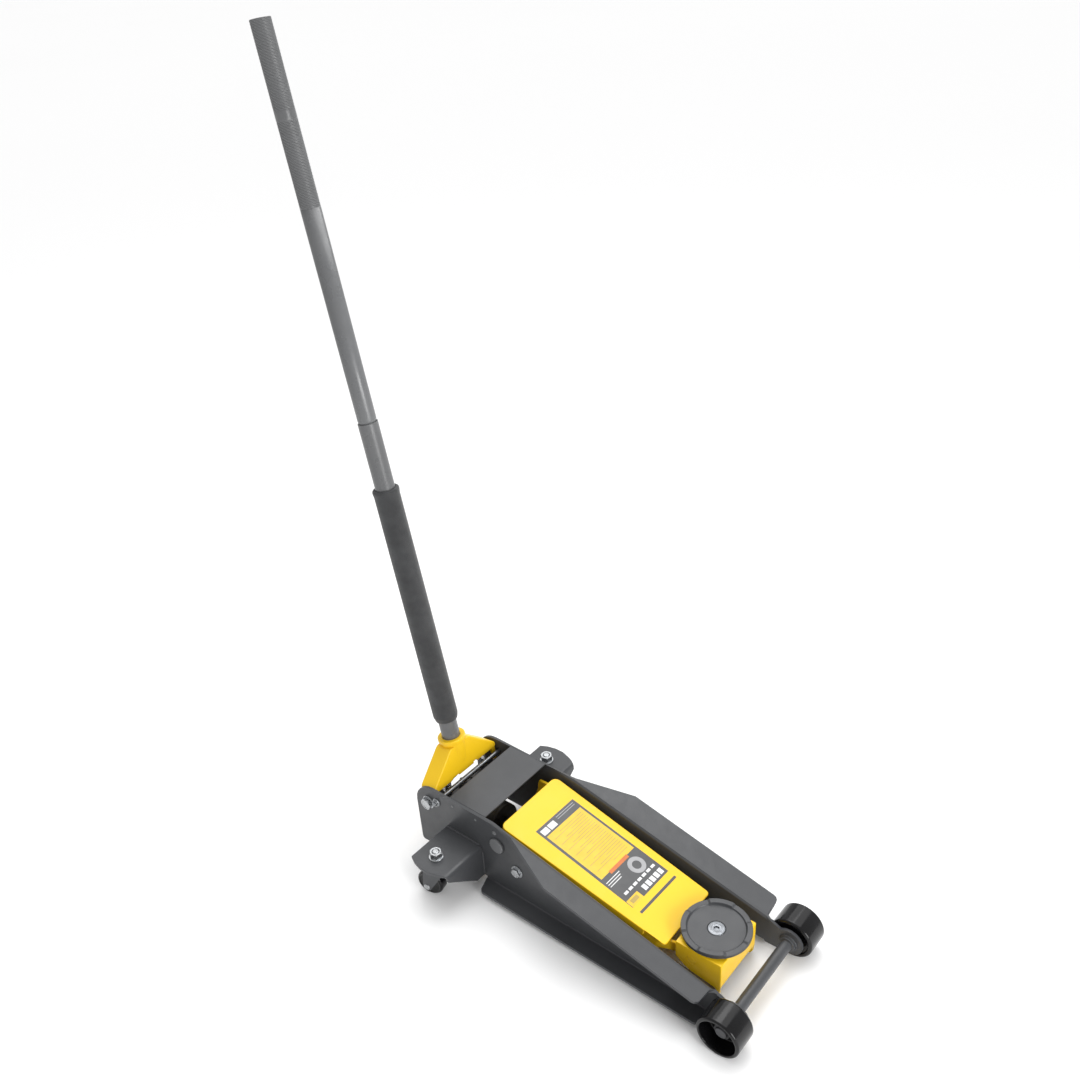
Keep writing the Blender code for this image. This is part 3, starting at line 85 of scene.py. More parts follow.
# Camera
CAMERA_AT = Vector((0.94796, -1.0656, 1.539))
CAMERA_FORWARD = Vector((-0.56895, 0.6424, -0.51345))
CAMERA_UP = Vector((-0.28514, 0.43152, 0.85585))
CAMERA_LENS = 36.63
CAMERA_SHIFT = (0.0023, 0.0143)

# Light: a soft overcast dome, a broad sun high at the back and two lamps
DOME_STRENGTH = 0.62
SUN_POWER = 1.45
SUN_WIDTH = radians(70.0)
SUN_TILT = (radians(-22.0), radians(-14.0), 0.0)
FLOOR_REACH = 150.0
FLOOR_DROP = 0.0004

# Frame and arm
WEB_OUT = 0.089
ARM_SLOPE = radians(12.5)
ARM_REAR_FROM_PIVOT = Vector((-0.0004, 0.0, 0.0362))

# Welds
WELD_PROUD = 0.0008
WELD_FACETS = 14
WELD_STEP = 0.22
AXLE_WELD_AT = 0.0832
AXLE_WELD_RADIUS = 0.0146

# Hexagon heads and nuts
FLANGE = 0.0016
BOLT_SIZES = {"yoke_bolt_": (0.0124, 0.0070), "link_bolt_": (0.0098, 0.0060)}
TIE_NUT = (0.0075, 0.0048)
CASTER_NUT = (0.0121, 0.0064)

# Label: where it lies on the arm, along the slope and across it, and how thick each layer is
LABEL_AT = (0.054, 0.008, 0.0)
LABEL_TWIST = radians(-1.3)
LABEL_FILM = 0.00008
LABEL_RING_AT = (0.1680, 0.0220)
LABEL_RING_RADII = (0.0165, 0.0085)

# Saddle
SADDLE_RADIUS = 0.0581
SADDLE_DISH = 0.0490
SADDLE_DEPTH = 0.0052
SADDLE_SEAT = 0.0113
SADDLE_STEP = 0.0025
SADDLE_RUNS = 4
SADDLE_EASE = 0.10
SCREW_RECESS = 0.0036
SCREW_HEAD = 0.0147

# Yoke, in the handle's own frame
WING = 0.0832
WING_TOP = 0.0270
YOKE_SHOULDER = (0.0245, 0.0790)
YOKE_DEPTH = 0.0187
YOKE_SKIRT = 0.018
YOKE_WALL = 0.006
COLLAR_RADIUS = 0.0260
COLLAR_TOP = 0.0915
COLLAR_HEIGHT = 0.0075
SOCKET_RADIUS = 0.0176
SOCKET_FLOOR = 0.0480
EAR_RADIUS = 0.0155
EAR_TOP = 0.0265
BOLT_HOLE = 0.0075
CAM_TIP = (-0.0104, 0.0094)
CAM_RADIUS = 0.006
NOTCH_TOP = 0.0225

# Knurl on the handle's upper tube, in the handle's own frame
UPPER_RADIUS = 0.0158
UPPER_BORE = 0.0130
UPPER_NECK = 0.0147
UPPER_BOTTOM = 0.6586
UPPER_SHOULDER = 0.7096
UPPER_TOP = 1.3089
KNURL_BOTTOM = 1.0500
KNURL_BAND = (1.1755, 1.1865)
KNURL_STARTS = 14
KNURL_RISE = 0.0044
KNURL_DEPTH = 0.00110
KNURL_ROWS = 8
TUBE_STEPS = 112
TUBE_LIP = 0.0010

# Meshes
FINE = 96
WELD = 0.00001


def middle(node):
    low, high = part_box(node)
    return (low + high) / 2.0


LEAN = Vector(JOINTS["handle_turn"]["axis"])
LEAN_AT = Vector(JOINTS["handle_turn"]["pos_m"])


# ---------------------------------------------------------------- materials

class Surface:
    """A node material under construction: the Principled shader with detail fed from object coordinates."""

    def __init__(self, name, colour, roughness, metallic=0.0):
        self.made = bpy.data.materials.new(name)
        self.made.use_nodes = True
        self.tree = self.made.node_tree
        self.shader = self.tree.nodes["Principled BSDF"]
        self.shader.inputs["Base Color"].default_value = (*colour, 1.0)
        self.shader.inputs["Roughness"].default_value = roughness
        self.shader.inputs["Metallic"].default_value = metallic
        self.colour = colour
        self.roughness = roughness
        self.place = self.tree.nodes.new("ShaderNodeTexCoord").outputs["Object"]
        self.normal = None

    def set(self, socket, value):
        self.shader.inputs[socket].default_value = value
        return self

    def noise(self, scale, detail=2.0, stretch=(1.0, 1.0, 1.0)):
        """Noise between about 0.3 and 0.7, with `scale` features to the metre along an unstretched axis."""
        mapping = self.tree.nodes.new("ShaderNodeMapping")
        mapping.inputs["Scale"].default_value = stretch
        self.tree.links.new(self.place, mapping.inputs["Vector"])
        texture = self.tree.nodes.new("ShaderNodeTexNoise")
        texture.inputs["Scale"].default_value = scale
        texture.inputs["Detail"].default_value = detail
        self.tree.links.new(mapping.outputs["Vector"], texture.inputs["Vector"])
        return texture.outputs["Fac"]

    def spread(self, value, low, high):
        """Stretches noise, which keeps near its middle, out to the range from `low` to `high`."""
        node = self.tree.nodes.new("ShaderNodeMapRange")
        node.inputs["From Min"].default_value = 0.35
        node.inputs["From Max"].default_value = 0.65
        node.inputs["To Min"].default_value = low
        node.inputs["To Max"].default_value = high
        self.tree.links.new(value, node.inputs["Value"])
        return node.outputs["Result"]

    def mottle(self, amount, scale, warmth=0.0):
        """Colour drifts by `amount` either way, towards a warmer tone where it is darker."""
        mix = self.tree.nodes.new("ShaderNodeMix")
        mix.data_type = "RGBA"
        tones = (1.0, 1.0 - warmth / 2.0, 1.0 - warmth)
        dark = [c * (1.0 - amount) * tone for c, tone in zip(self.colour, tones)]
        light = [min(1.0, c * (1.0 + amount)) for c in self.colour]
        mix.inputs["A"].default_value = (*dark, 1.0)
        mix.inputs["B"].default_value = (*light, 1.0)
        self.tree.links.new(self.spread(self.noise(scale, 4.0), 0.0, 1.0), mix.inputs["Factor"])
        self.tree.links.new(mix.outputs["Result"], self.shader.inputs["Base Color"])
        return self

    def uneven_gloss(self, amount, scale, stretch=(1.0, 1.0, 1.0)):
        noise = self.noise(scale, 3.0, stretch)
        value = self.spread(noise, self.roughness - amount, self.roughness + amount)
        self.tree.links.new(value, self.shader.inputs["Roughness"])
        return self

    def bump(self, depth, value):
        """Adds relief `depth` metres deep, driven by a value, on top of the relief already there."""
        node = self.tree.nodes.new("ShaderNodeBump")
        node.inputs["Distance"].default_value = depth
        node.inputs["Strength"].default_value = 1.0
        self.tree.links.new(value, node.inputs["Height"])
        if self.normal:
            self.tree.links.new(self.normal, node.inputs["Normal"])
        self.normal = node.outputs["Normal"]
        self.tree.links.new(self.normal, self.shader.inputs["Normal"])
        return self

    def grain(self, depth, scale, detail=2.0, stretch=(1.0, 1.0, 1.0)):
        return self.bump(depth, self.noise(scale, detail, stretch))


def grey_paint():
    """Semi-gloss powder coat with a fine orange peel."""
    paint = Surface("frame_grey_paint", (0.054, 0.056, 0.060), 0.38).mottle(0.06, 9.0)
    paint.uneven_gloss(0.05, 60.0).grain(0.00010, 420.0).grain(0.00002, 2600.0)
    return paint.set("Specular IOR Level", 0.36).set("Coat Weight", 0.05).made


def handle_paint(name, colour):
    """Smoother paint than the frame's. The knurled and lower lengths get a little darker tone; on the knurled
    length that darker tone is painted shade for the knurl's valleys.
    """
    paint = Surface(name, colour, 0.30).mottle(0.05, 12.0)
    return paint.uneven_gloss(0.05, 45.0).grain(0.00006, 500.0).made


def yellow_paint():
    paint = Surface("arm_yellow_paint", (0.86, 0.540, 0.012), 0.36).mottle(0.008, 7.0)
    paint.uneven_gloss(0.04, 50.0).grain(0.00005, 380.0).grain(0.00001, 2400.0)
    return paint.set("Specular IOR Level", 0.32).set("Coat Weight", 0.05).set("Coat Roughness", 0.12).made


def black_enamel():
    paint = Surface("wheel_black_enamel", (0.005, 0.005, 0.0055), 0.16).mottle(0.3, 30.0)
    return paint.uneven_gloss(0.06, 35.0).grain(0.00008, 300.0).set("Specular IOR Level", 0.32).made


# Dark casting paint. On the ram cylinder and its gland it is painted shade for the dark gap they sit in.
def black_casting():
    paint = Surface("dark_casting_paint_and_gap_shade", (0.022, 0.022, 0.024), 0.50).mottle(0.25, 60.0)
    return paint.uneven_gloss(0.1, 80.0).grain(0.0004, 700.0, 5.0).made


def zinc_plate():
    metal = Surface("zinc_plate", (0.43, 0.445, 0.46), 0.30, 1.0).mottle(0.10, 120.0, warmth=0.03)
    return metal.uneven_gloss(0.10, 260.0).grain(0.00003, 1500.0).made


def dull_zinc():
    metal = Surface("dull_zinc_plate", (0.19, 0.20, 0.215), 0.34, 1.0).mottle(0.10, 120.0, warmth=0.03)
    return metal.uneven_gloss(0.10, 260.0).grain(0.00003, 1500.0).made


def turned_steel():
    """Plain steel with lathe marks round the piece's own Z axis."""
    metal = Surface("turned_steel", (0.26, 0.258, 0.255), 0.40, 1.0).mottle(0.18, 90.0, warmth=0.08)
    return metal.uneven_gloss(0.10, 150.0).grain(0.00004, 1600.0, 2.0, (0.05, 0.05, 1.0)).made


def rolled_steel():
    metal = Surface("rolled_steel", (0.14, 0.14, 0.143), 0.44, 1.0).mottle(0.20, 40.0, warmth=0.06)
    metal.uneven_gloss(0.10, 90.0, (0.2, 1.0, 1.0))
    return metal.grain(0.00006, 900.0, 3.0, (0.15, 1.0, 1.0)).made


def hard_chrome():
    metal = Surface("hard_chrome", (0.50, 0.50, 0.52), 0.12, 1.0).mottle(0.03, 60.0)
    return metal.uneven_gloss(0.03, 200.0).grain(0.00001, 2200.0, 2.0, (0.1, 0.1, 1.0)).made


def closed_foam():
    """Closed-cell foam: fine pores, a few scuffs and a soft sheen at grazing angles."""
    foam = Surface("grip_foam", (0.028, 0.029, 0.031), 0.78).mottle(0.16, 26.0)
    foam.uneven_gloss(0.08, 60.0).grain(0.00035, 900.0, 6.0)
    pores = foam.tree.nodes.new("ShaderNodeTexVoronoi")
    pores.inputs["Scale"].default_value = 1300.0
    foam.tree.links.new(foam.place, pores.inputs["Vector"])
    foam.bump(0.00015, pores.outputs["Distance"])
    return foam.set("Sheen Weight", 0.25).set("Sheen Roughness", 0.5).made


def label_print(name, colour):
    return Surface("label_" + name, colour, 0.33).mottle(0.05, 40.0).uneven_gloss(0.04, 90.0).made


FINISHES = {
    "grey": grey_paint(),
    "handle": handle_paint("handle_grey_paint", (0.135, 0.138, 0.142)),
    # grip: darker handle paint; on the knurled length it is painted shade for the knurl's valleys
    "grip": handle_paint("handle_dark_paint_and_knurl_shade", (0.115, 0.117, 0.12)),
    "yellow": yellow_paint(),
    "gloss": black_enamel(),
    "cast": black_casting(),
    "zinc": zinc_plate(),
    "dull": dull_zinc(),
    "turned": turned_steel(),
    "rolled": rolled_steel(),
    "chrome": hard_chrome(),
    "foam": closed_foam(),
    "label_dark": label_print("dark", (0.050, 0.051, 0.054)),
    "label_white": label_print("white", (0.72, 0.72, 0.72)),
    "label_yellow": label_print("yellow", (0.72, 0.46, 0.008)),
    "label_grey": label_print("grey", (0.33, 0.33, 0.34)),
    "label_orange": label_print("orange", (0.55, 0.13, 0.01)),
    "label_olive": label_print("olive", (0.40, 0.28, 0.045)),
}


# ---------------------------------------------------------------- pieces

def add_piece(name, bm, finish, body, replaced=(), place=None, smooth=True):
    """Turns the mesh into a piece that rides on a body and stands for the CAD nodes in `replaced`."""
    bmesh.ops.recalc_face_normals(bm, faces=bm.faces)
    mesh = bpy.data.meshes.new(name)
    bm.to_mesh(mesh)
    bm.free()
    mesh.materials.append(FINISHES[finish])
    if smooth:
        mesh.shade_smooth()
    made = bpy.data.objects.new(name, mesh)
    bpy.context.scene.collection.objects.link(made)
    if place:
        made.matrix_world = place
    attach(made, body)
    if replaced:
        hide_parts(*replaced)
    return made


def body_of(node):
    return NODES[node]["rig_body"]


def cad_mesh(node):
    """The CAD node's mesh with its split corners welded."""
    bm = bmesh.new()
    bm.from_mesh(NODES[node].data)
    bmesh.ops.remove_doubles(bm, verts=bm.verts, dist=WELD)
    return bm


def weight_normals(made):
    step = made.modifiers.new("flat_faces", "WEIGHTED_NORMAL")
    step.mode = "FACE_AREA"
    step.weight = 100
    step.keep_sharp = True


def round_edges(made, width, segments, angle):
    step = made.modifiers.new("worn_edges", "BEVEL")
    step.width = width
    step.segments = segments
    step.limit_method = "ANGLE"
    step.angle_limit = radians(angle)
    step.miter_outer = "MITER_ARC"
    weight_normals(made)


def refined(node, finish, width=0.0008, segments=3, angle=28.0):
    """The CAD node's shape with its edges rounded, for sheet metal, bars and castings."""
    bm = cad_mesh(node)
    bmesh.ops.dissolve_limit(bm, angle_limit=radians(0.5), verts=bm.verts, edges=bm.edges)
    made = add_piece(node + "_fine", bm, finish, body_of(node), (node,))
    round_edges(made, width, segments, angle)


def axis_place(point, along, first):
    """A frame at `point` whose Z runs along an axis and whose X leans towards `first`."""
    z = Vector(along).normalized()
    x = Vector(first)
    x = (x - z * x.dot(z)).normalized()
    place = Matrix((x, z.cross(x), z)).transposed().to_4x4()
    place.translation = point
    return place


def turned_profile(node, place, steps):
    """The (radius, height) outline of a turned CAD node, read where a half plane cuts it between two of
    its `steps` corners, with the radii brought out to those corners."""
    bm = cad_mesh(node)
    bmesh.ops.transform(bm, matrix=place.inverted(), verts=bm.verts)
    a = pi / steps
    out = Vector((cos(a), sin(a), 0.0))
    origin = Vector((0.0, 0.0, 0.0))
    bmesh.ops.bisect_plane(bm, geom=bm.verts[:] + bm.edges[:] + bm.faces[:], plane_co=origin, plane_no=out,
                           clear_inner=True)
    cut = bmesh.ops.bisect_plane(bm, geom=bm.verts[:] + bm.edges[:] + bm.faces[:], plane_co=origin,
                                 plane_no=Vector((-out.y, out.x, 0.0)), dist=WELD)
    links = {}
    for edge in cut["geom_cut"]:
        if isinstance(edge, bmesh.types.BMEdge):
            for near, far in (edge.verts, reversed(edge.verts)):
                links.setdefault(near, []).append(far)
    ends = [vert for vert in links if len(links[vert]) == 1]
    closed = not ends
    here = ends[0] if ends else next(iter(links))
    path = [here]
    seen = {here}
    while True:
        ahead = [vert for vert in links[here] if vert not in seen]
        if not ahead:
            break
        here = ahead[0]
        seen.add(here)
        path.append(here)
    points = [(vert.co.dot(out) / cos(a), vert.co.z) for vert in path]
    bm.free()
    return straightened(points, closed), closed


def straightened(points, closed):
    """Drops the points that lie on a straight run."""
    kept = []
    count = len(points)
    for i, point in enumerate(points):
        if not closed and i in (0, count - 1):
            kept.append(point)
            continue
        before = Vector(points[i - 1]) - Vector(point)
        after = Vector(points[(i + 1) % count]) - Vector(point)
        if before.length > WELD and after.length > WELD and pi - before.angle(after) > radians(1.0):
            kept.append(point)
    return kept


def rounded(points, radius, closed, steps=3):
    """The outline with each of its corners turned into a small curve."""
    made = []
    count = len(points)
    for i, point in enumerate(points):
        corner = Vector(point)
        if not closed and i in (0, count - 1):
            made.append(corner)
            continue
        before = Vector(points[i - 1]) - corner
        after = Vector(points[(i + 1) % count]) - corner
        cut = min(radius, 0.45 * before.length, 0.45 * after.length)
        start = corner + before.normalized() * cut
        end = corner + after.normalized() * cut
        for k in range(steps + 1):
            t = k / steps
            made.append(start * (1 - t) ** 2 + corner * 2 * t * (1 - t) + end * t * t)
    return [(p.x, p.y) for p in made]


def loft(rings, closed=False):
    """Faces through rings of points. A ring may be a single point, and a closed loft joins its ends."""
    bm = bmesh.new()
    rows = [[bm.verts.new(point) for point in ring] for ring in rings]
    pairs = list(zip(rows, rows[1:]))
    if closed:
        pairs.append((rows[-1], rows[0]))
    for low, high in pairs:
        for i in range(max(len(low), len(high))):
            j = (i + 1) % max(len(low), len(high))
            corners = [low[i % len(low)], low[j % len(low)], high[j % len(high)], high[i % len(high)]]
            bm.faces.new(list(dict.fromkeys(corners)))
    return bm


def prism(outline, start, end, to_space):
    """A solid from a closed outline, drawn out from `start` to `end` across its plane."""
    bm = loft([[to_space(u, v, w) for u, v in outline] for w in (start, end)])
    count = len(outline)
    bm.verts.ensure_lookup_table()
    bm.faces.new(bm.verts[:count])
    bm.faces.new(bm.verts[count:])
    bmesh.ops.recalc_face_normals(bm, faces=bm.faces)
    return bm


def along_x(u, v, w):
    return (w, u, v)


def along_y(u, v, w):
    return (u, w, v)


def along_z(u, v, w):
    return (u, v, w)


def mirrored(half):
    """An outline's half at positive first coordinates, followed by its mirror image back to the start."""
    return half + [(-u, v) for u, v in reversed(half)]


def gather(bm, others):
    """Moves other meshes into `bm`."""
    for other in others:
        part = bpy.data.meshes.new("part")
        other.to_mesh(part)
        other.free()
        bm.from_mesh(part)
        bpy.data.meshes.remove(part)


def carved(base, cuts):
    """`base` after each (operation, mesh) of `cuts` in turn, as one mesh."""
    held = []
    for bm in [base] + [cut for _, cut in cuts]:
        bmesh.ops.recalc_face_normals(bm, faces=bm.faces)
        mesh = bpy.data.meshes.new("carving")
        bm.to_mesh(mesh)
        bm.free()
        held.append(bpy.data.objects.new("carving", mesh))
        bpy.context.scene.collection.objects.link(held[-1])
    for (operation, _), item in zip(cuts, held[1:]):
        step = held[0].modifiers.new(operation, "BOOLEAN")
        step.operation = operation
        step.object = item
    bpy.context.view_layer.update()
    final = held[0].evaluated_get(bpy.context.evaluated_depsgraph_get())
    shape = bpy.data.meshes.new_from_object(final)
    for item in held:
        bpy.data.objects.remove(item)
    bm = bmesh.new()
    bm.from_mesh(shape)
    bmesh.ops.remove_doubles(bm, verts=bm.verts, dist=WELD)
    return bm


def arc(centre, radius, start, end, steps):
    """Points of an arc between two angles in degrees, both ends included."""
    angles = [radians(start + (end - start) * i / steps) for i in range(steps + 1)]
    return [(centre[0] + radius * cos(a), centre[1] + radius * sin(a)) for a in angles]


def lathe(points, closed, steps=FINE):
    """A turned shape from its (radius, height) outline. A point on the axis becomes a single vertex."""
    return loft([round_ring(radius, height, steps) for radius, height in points], closed)


def finer(node, finish, place, steps, corner=0.0006, fine=FINE):
    """A turned CAD node again, with more steps and softened corners."""
    points, closed = turned_profile(node, place, steps)
    bm = lathe(rounded(points, corner, closed), closed, fine)
    made = add_piece(node + "_fine", bm, finish, body_of(node), (node,), place)
    weight_normals(made)
    return made


def hex_reach(corner, angle):
    """Distance from a hexagon's centre to its edge, in a direction."""
    sector = pi / 3
    return corner * cos(sector / 2) / cos(angle % sector - sector / 2)


def hexagon_ring(corner, height, fall=0.0, inside=0.0):
    """A hexagon's ring. With `fall`, it drops where it reaches out past the radius `inside`, as a chamfer
    cut on a lathe does."""
    ring = []
    for i in range(FINE):
        a = 2 * pi * i / FINE
        reach = hex_reach(corner, a)
        ring.append((reach * cos(a), reach * sin(a), height - max(0.0, reach - inside) * fall))
    return ring


def round_ring(radius, height, steps=FINE):
    if radius < WELD:
        return [(0.0, 0.0, height)]
    angles = [2 * pi * i / steps for i in range(steps)]
    return [(radius * cos(a), radius * sin(a), height) for a in angles]


def hex_fastener(name, node, place, corner, head, washer, bore=0.0):
    """A hexagon head or nut on its flange, seated at the frame's origin and facing along its Z."""
    crown = corner * cos(pi / 6) * 0.93
    flange = [round_ring(bore, 0.0), round_ring(washer - 0.0003, 0.0), round_ring(washer, 0.0003),
              round_ring(washer, FLANGE * 0.6), round_ring(washer - 0.0006, FLANGE),
              round_ring(corner + 0.0002, FLANGE + 0.0001)]
    body = [hexagon_ring(corner, FLANGE + 0.0003),
            hexagon_ring(corner, head, fall=tan(radians(30)), inside=crown), round_ring(crown, head)]
    if bore:
        face = [round_ring(bore + 0.0010, head), round_ring(bore, head - 0.0010)]
    else:
        face = [round_ring(crown * 0.86, head), round_ring(crown * 0.80, head - 0.0006),
                round_ring(0.0, head - 0.0006)]
    made = add_piece(name, loft(flange + body + face, bool(bore)), "zinc", body_of(node), (), place)
    made.data.set_sharp_from_angle(angle=radians(24))
    return made


# ---------------------------------------------------------------- frame and running gear

def y_axis(node):
    return axis_place(middle(node), (0, 1, 0), (1, 0, 0))


def z_axis(node):
    return axis_place(middle(node), (0, 0, 1), (1, 0, 0))


def make_frame():
    for side, _ in SIDES:
        refined("side_plate_" + side, "grey", 0.0007)
        refined("caster_bracket_" + side, "grey", 0.0008)
        finer("wheel_retaining_ring_" + side, "cast", y_axis("wheel_retaining_ring_" + side), 16, 0.0003)
        finer("arm_spacer_" + side, "turned", y_axis("arm_spacer_" + side), 16)
    refined("rear_cover_plate", "grey", 0.0005)
    finer("front_axle", "grey", y_axis("front_axle"), 16)
    finer("tie_rod", "dull", y_axis("tie_rod"), 12)
    finer("arm_pivot_pin", "handle", y_axis("arm_pivot_pin"), 20, 0.0012)
    for side, _ in SIDES:
        finer("front_wheel_" + side, "gloss", y_axis("front_wheel_" + side), 24, 0.0022, 128)


def weld_bead(name, path, radius):
    """A rippled bead of weld along a path of points, with round ends."""
    points = []
    for start, end in zip(path, path[1:]):
        start, end = Vector(start), Vector(end)
        count = max(2, ceil((end - start).length / (radius * WELD_STEP)))
        points += [start.lerp(end, i / count) for i in range(count)]
    points.append(Vector(path[-1]))
    rings = []
    last = len(points) - 1
    for i, point in enumerate(points):
        ahead = (points[min(i + 1, last)] - points[max(i - 1, 0)]).normalized()
        side = ahead.cross(Vector((0.31, 0.22, 0.93))).normalized()
        up = side.cross(ahead)
        ripple = 1.0 + 0.10 * sin(i * 1.35) + 0.05 * sin(i * 0.37)
        from_end = min(1.0, min(i, last - i) * WELD_STEP)
        size = radius * ripple * max(0.05, from_end * (2.0 - from_end)) ** 0.5
        angles = [2 * pi * k / WELD_FACETS for k in range(WELD_FACETS)]
        rings.append([point + side * size * cos(a) + up * size * sin(a) for a in angles])
    rings = [[points[0]]] + rings[1:-1] + [[points[-1]]]
    add_piece(name, loft(rings), "grey", "chassis")


def plug_weld(name, x, z, size, sign):
    """A flat dome of weld on the outside of a side plate."""
    dome = [(0, 0), (size, 0), (size * 0.8, size * 0.32), (0, size * 0.36)]
    place = axis_place((x, sign * WEB_OUT, z), (0, sign, 0), (1, 0, 0))
    bm = lathe(rounded(dome, size * 0.2, False), False, 28)
    add_piece(name, bm, "handle", "chassis", (), place)


def make_welds():
    """Beads along each caster bracket, a ring round each end of the axle, and plug welds on the webs."""
    cover_low, cover_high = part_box("rear_cover_plate")
    pivot = middle("arm_pivot_pin")
    axle = middle("front_axle")
    for side, sign in SIDES:
        low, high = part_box("caster_bracket_" + side)
        y = sign * (WEB_OUT + WELD_PROUD)
        top = high.z + 0.0002
        along = [(low.x + 0.001, y, top), (high.x - 0.005, y, top)]
        weld_bead("bracket_weld_" + side, along, 0.0024)
        down = [(high.x, y, high.z - 0.012), (high.x, y, low.z + 0.002)]
        weld_bead("gusset_weld_" + side, down, 0.0020)
        ring = [(x, sign * AXLE_WELD_AT, z) for x, z in arc((axle.x, axle.z), AXLE_WELD_RADIUS, 0, 360, 40)]
        weld_bead("axle_weld_" + side, ring, 0.0019)
        marks = [(cover_low.x + 0.0094, cover_high.z - 0.0135, 0.0027),
                 (cover_high.x - 0.0196, cover_high.z - 0.0145, 0.0027),
                 (pivot.x - 0.005, pivot.z + 0.026, 0.0046),
                 (low.x - 0.004, high.z - 0.009, 0.0034)]
        for i, (x, z, size) in enumerate(marks):
            plug_weld("plug_weld_%s_%d" % (side, i + 1), x, z, size, sign)


def make_casters():
    for side, _ in SIDES:
        refined("caster_fork_" + side, "grey", 0.0006)
        finer("caster_race_" + side, "zinc", z_axis("caster_race_" + side), 16)
        finer("caster_kingpin_" + side, "zinc", z_axis("caster_kingpin_" + side), 12, 0.0008)
        roll = JOINTS["caster_roll_" + side]
        first = Vector(roll["axis"]).cross((0, 0, 1))
        place = axis_place(roll["pos_m"], roll["axis"], first)
        finer("caster_axle_" + side, "zinc", place, 12)
        finer("caster_wheel_" + side, "gloss", place, 20, 0.0014, 128)


def make_bolt(node, side, sign):
    """A bolt, whose CAD node is one piece, as a head outside the web and a shank through it."""
    corner, shank = BOLT_SIZES[node]
    low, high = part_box(node + side)
    washer = (high.x - low.x) / 2.0
    outer = max(abs(low.y), abs(high.y))
    inner = min(abs(low.y), abs(high.y))
    seat = WEB_OUT + GAP
    centre = middle(node + side)
    place = axis_place((centre.x, sign * seat, centre.z), (0, sign, 0), (1, 0, 0))
    head = hex_fastener(node + side + "_fine", node + side, place, corner, outer - seat, washer)
    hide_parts(node + side)
    bar = rounded([(0, inner - seat), (shank, inner - seat), (shank, 0), (0, 0)], 0.001, False)
    add_piece(node + side + "_shank", lathe(bar, False), "zinc", body_of(node + side), (), place)


def make_nuts(side, sign):
    node = "tie_rod_nut_" + side
    low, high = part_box(node)
    corner, bore = TIE_NUT
    seat = min(abs(low.y), abs(high.y))
    place = axis_place((middle(node).x, sign * seat, middle(node).z), (0, sign, 0), (1, 0, 0))
    nut = hex_fastener(node + "_fine", node, place, corner, high.y - low.y, (high.x - low.x) / 2, bore)
    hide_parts(node)

    node = "caster_nut_" + side
    low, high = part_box(node)
    corner, bore = CASTER_NUT
    place = axis_place((middle(node).x, middle(node).y, low.z), (0, 0, 1), (1, 0.35, 0))
    nut = hex_fastener(node + "_fine", node, place, corner, high.z - low.z, (high.x - low.x) / 2, bore)
    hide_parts(node)


def make_fasteners():
    for side, sign in SIDES:
        for node in BOLT_SIZES:
            make_bolt(node, side, sign)
        make_nuts(side, sign)


# ---------------------------------------------------------------- arm, saddle, links

def make_arm():
    refined("arm_top_plate", "yellow", 0.0016, 4)
    for side, _ in SIDES:
        refined("arm_cheek_" + side, "yellow", 0.0007)
        refined("levelling_link_" + side, "rolled", 0.0008)
    finer("crank_pin", "turned", y_axis("crank_pin"), 12)
    finer("crank_bush", "turned", y_axis("crank_bush"), 16)
    refined("saddle_bracket", "yellow", 0.0022)
    finer("saddle_pin", "yellow", y_axis("saddle_pin"), 12)
    finer("link_front_pin", "zinc", y_axis("link_front_pin"), 12)


def label_blocks():
    """The label's blocks as (start, end along the arm, start, end across it, layer), by finish."""
    olive = [(0.2025, 0.2105, -0.044, -0.026, 3)]
    for row in range(21):
        u = 0.0290 + row * 0.0052
        length = 0.060 + 0.022 * sin(row * 2.1)
        olive.append((u, u + 0.0011, 0.040 - length, 0.040, 3))
    white = [(0.0055, 0.0175, -0.0460, -0.0300, 2), (0.0055, 0.0175, -0.0275, -0.0105, 2)]
    for row in range(3):
        u = 0.1535 + row * 0.0047
        white.append((u, u + 0.0015, -0.046, -0.010 - 0.003 * row, 2))
    for row in range(7):
        v = -0.040 + row * 0.0125
        white.append((0.1865, 0.1915, v, v + 0.0090, 2))
    for row in range(5):
        v = -0.008 + row * 0.0112
        white.append((0.1990, 0.2100, v, v + 0.0085, 2))
    return {"label_dark": [(0.0, 0.2145, -0.051, 0.051, 1), (0.2270, 0.2320, -0.049, 0.051, 1)],
            "label_yellow": [(0.0212, 0.1433, -0.0455, 0.0465, 2), (0.1995, 0.2145, -0.050, -0.020, 2)],
            "label_orange": [(0.1415, 0.1485, -0.0240, 0.0260, 3)],
            "label_white": white,
            "label_grey": [(u, u + 0.0012, -0.002, 0.045, 2) for u in (0.0045, 0.0090)],
            "label_olive": olive}


def label_slab(u0, u1, v0, v1, layer):
    corners = [(u0, v0), (u1, v0), (u1, v1), (u0, v1)]
    return prism(corners, LABEL_FILM * (layer - 1), LABEL_FILM * layer, along_z)


def label_ring():
    outer, inner = [arc(LABEL_RING_AT, radius, 0, 360, 48)[:-1] for radius in LABEL_RING_RADII]
    low, high = LABEL_FILM, 2 * LABEL_FILM
    loops = ((outer, low), (outer, high), (inner, high), (inner, low))
    return loft([[(x, y, z) for x, y in loop] for loop, z in loops], True)


def make_label():
    """A plain graphic on the arm, in the place of its printed label: blocks, bars, a ring, no lettering."""
    rear = Vector(JOINTS["arm_lift"]["pos_m"]) + ARM_REAR_FROM_PIVOT
    on_arm = Matrix.Translation(rear) @ Matrix.Rotation(ARM_SLOPE, 4, "Y")
    place = on_arm @ Matrix.Translation(LABEL_AT) @ Matrix.Rotation(LABEL_TWIST, 4, "Z")
    for finish, blocks in label_blocks().items():
        bm = bmesh.new()
        gather(bm, [label_slab(*block) for block in blocks])
        if finish == "label_grey":
            gather(bm, [label_ring()])
        add_piece("arm_" + finish, bm, finish, "lift_arm", (), place, smooth=False)


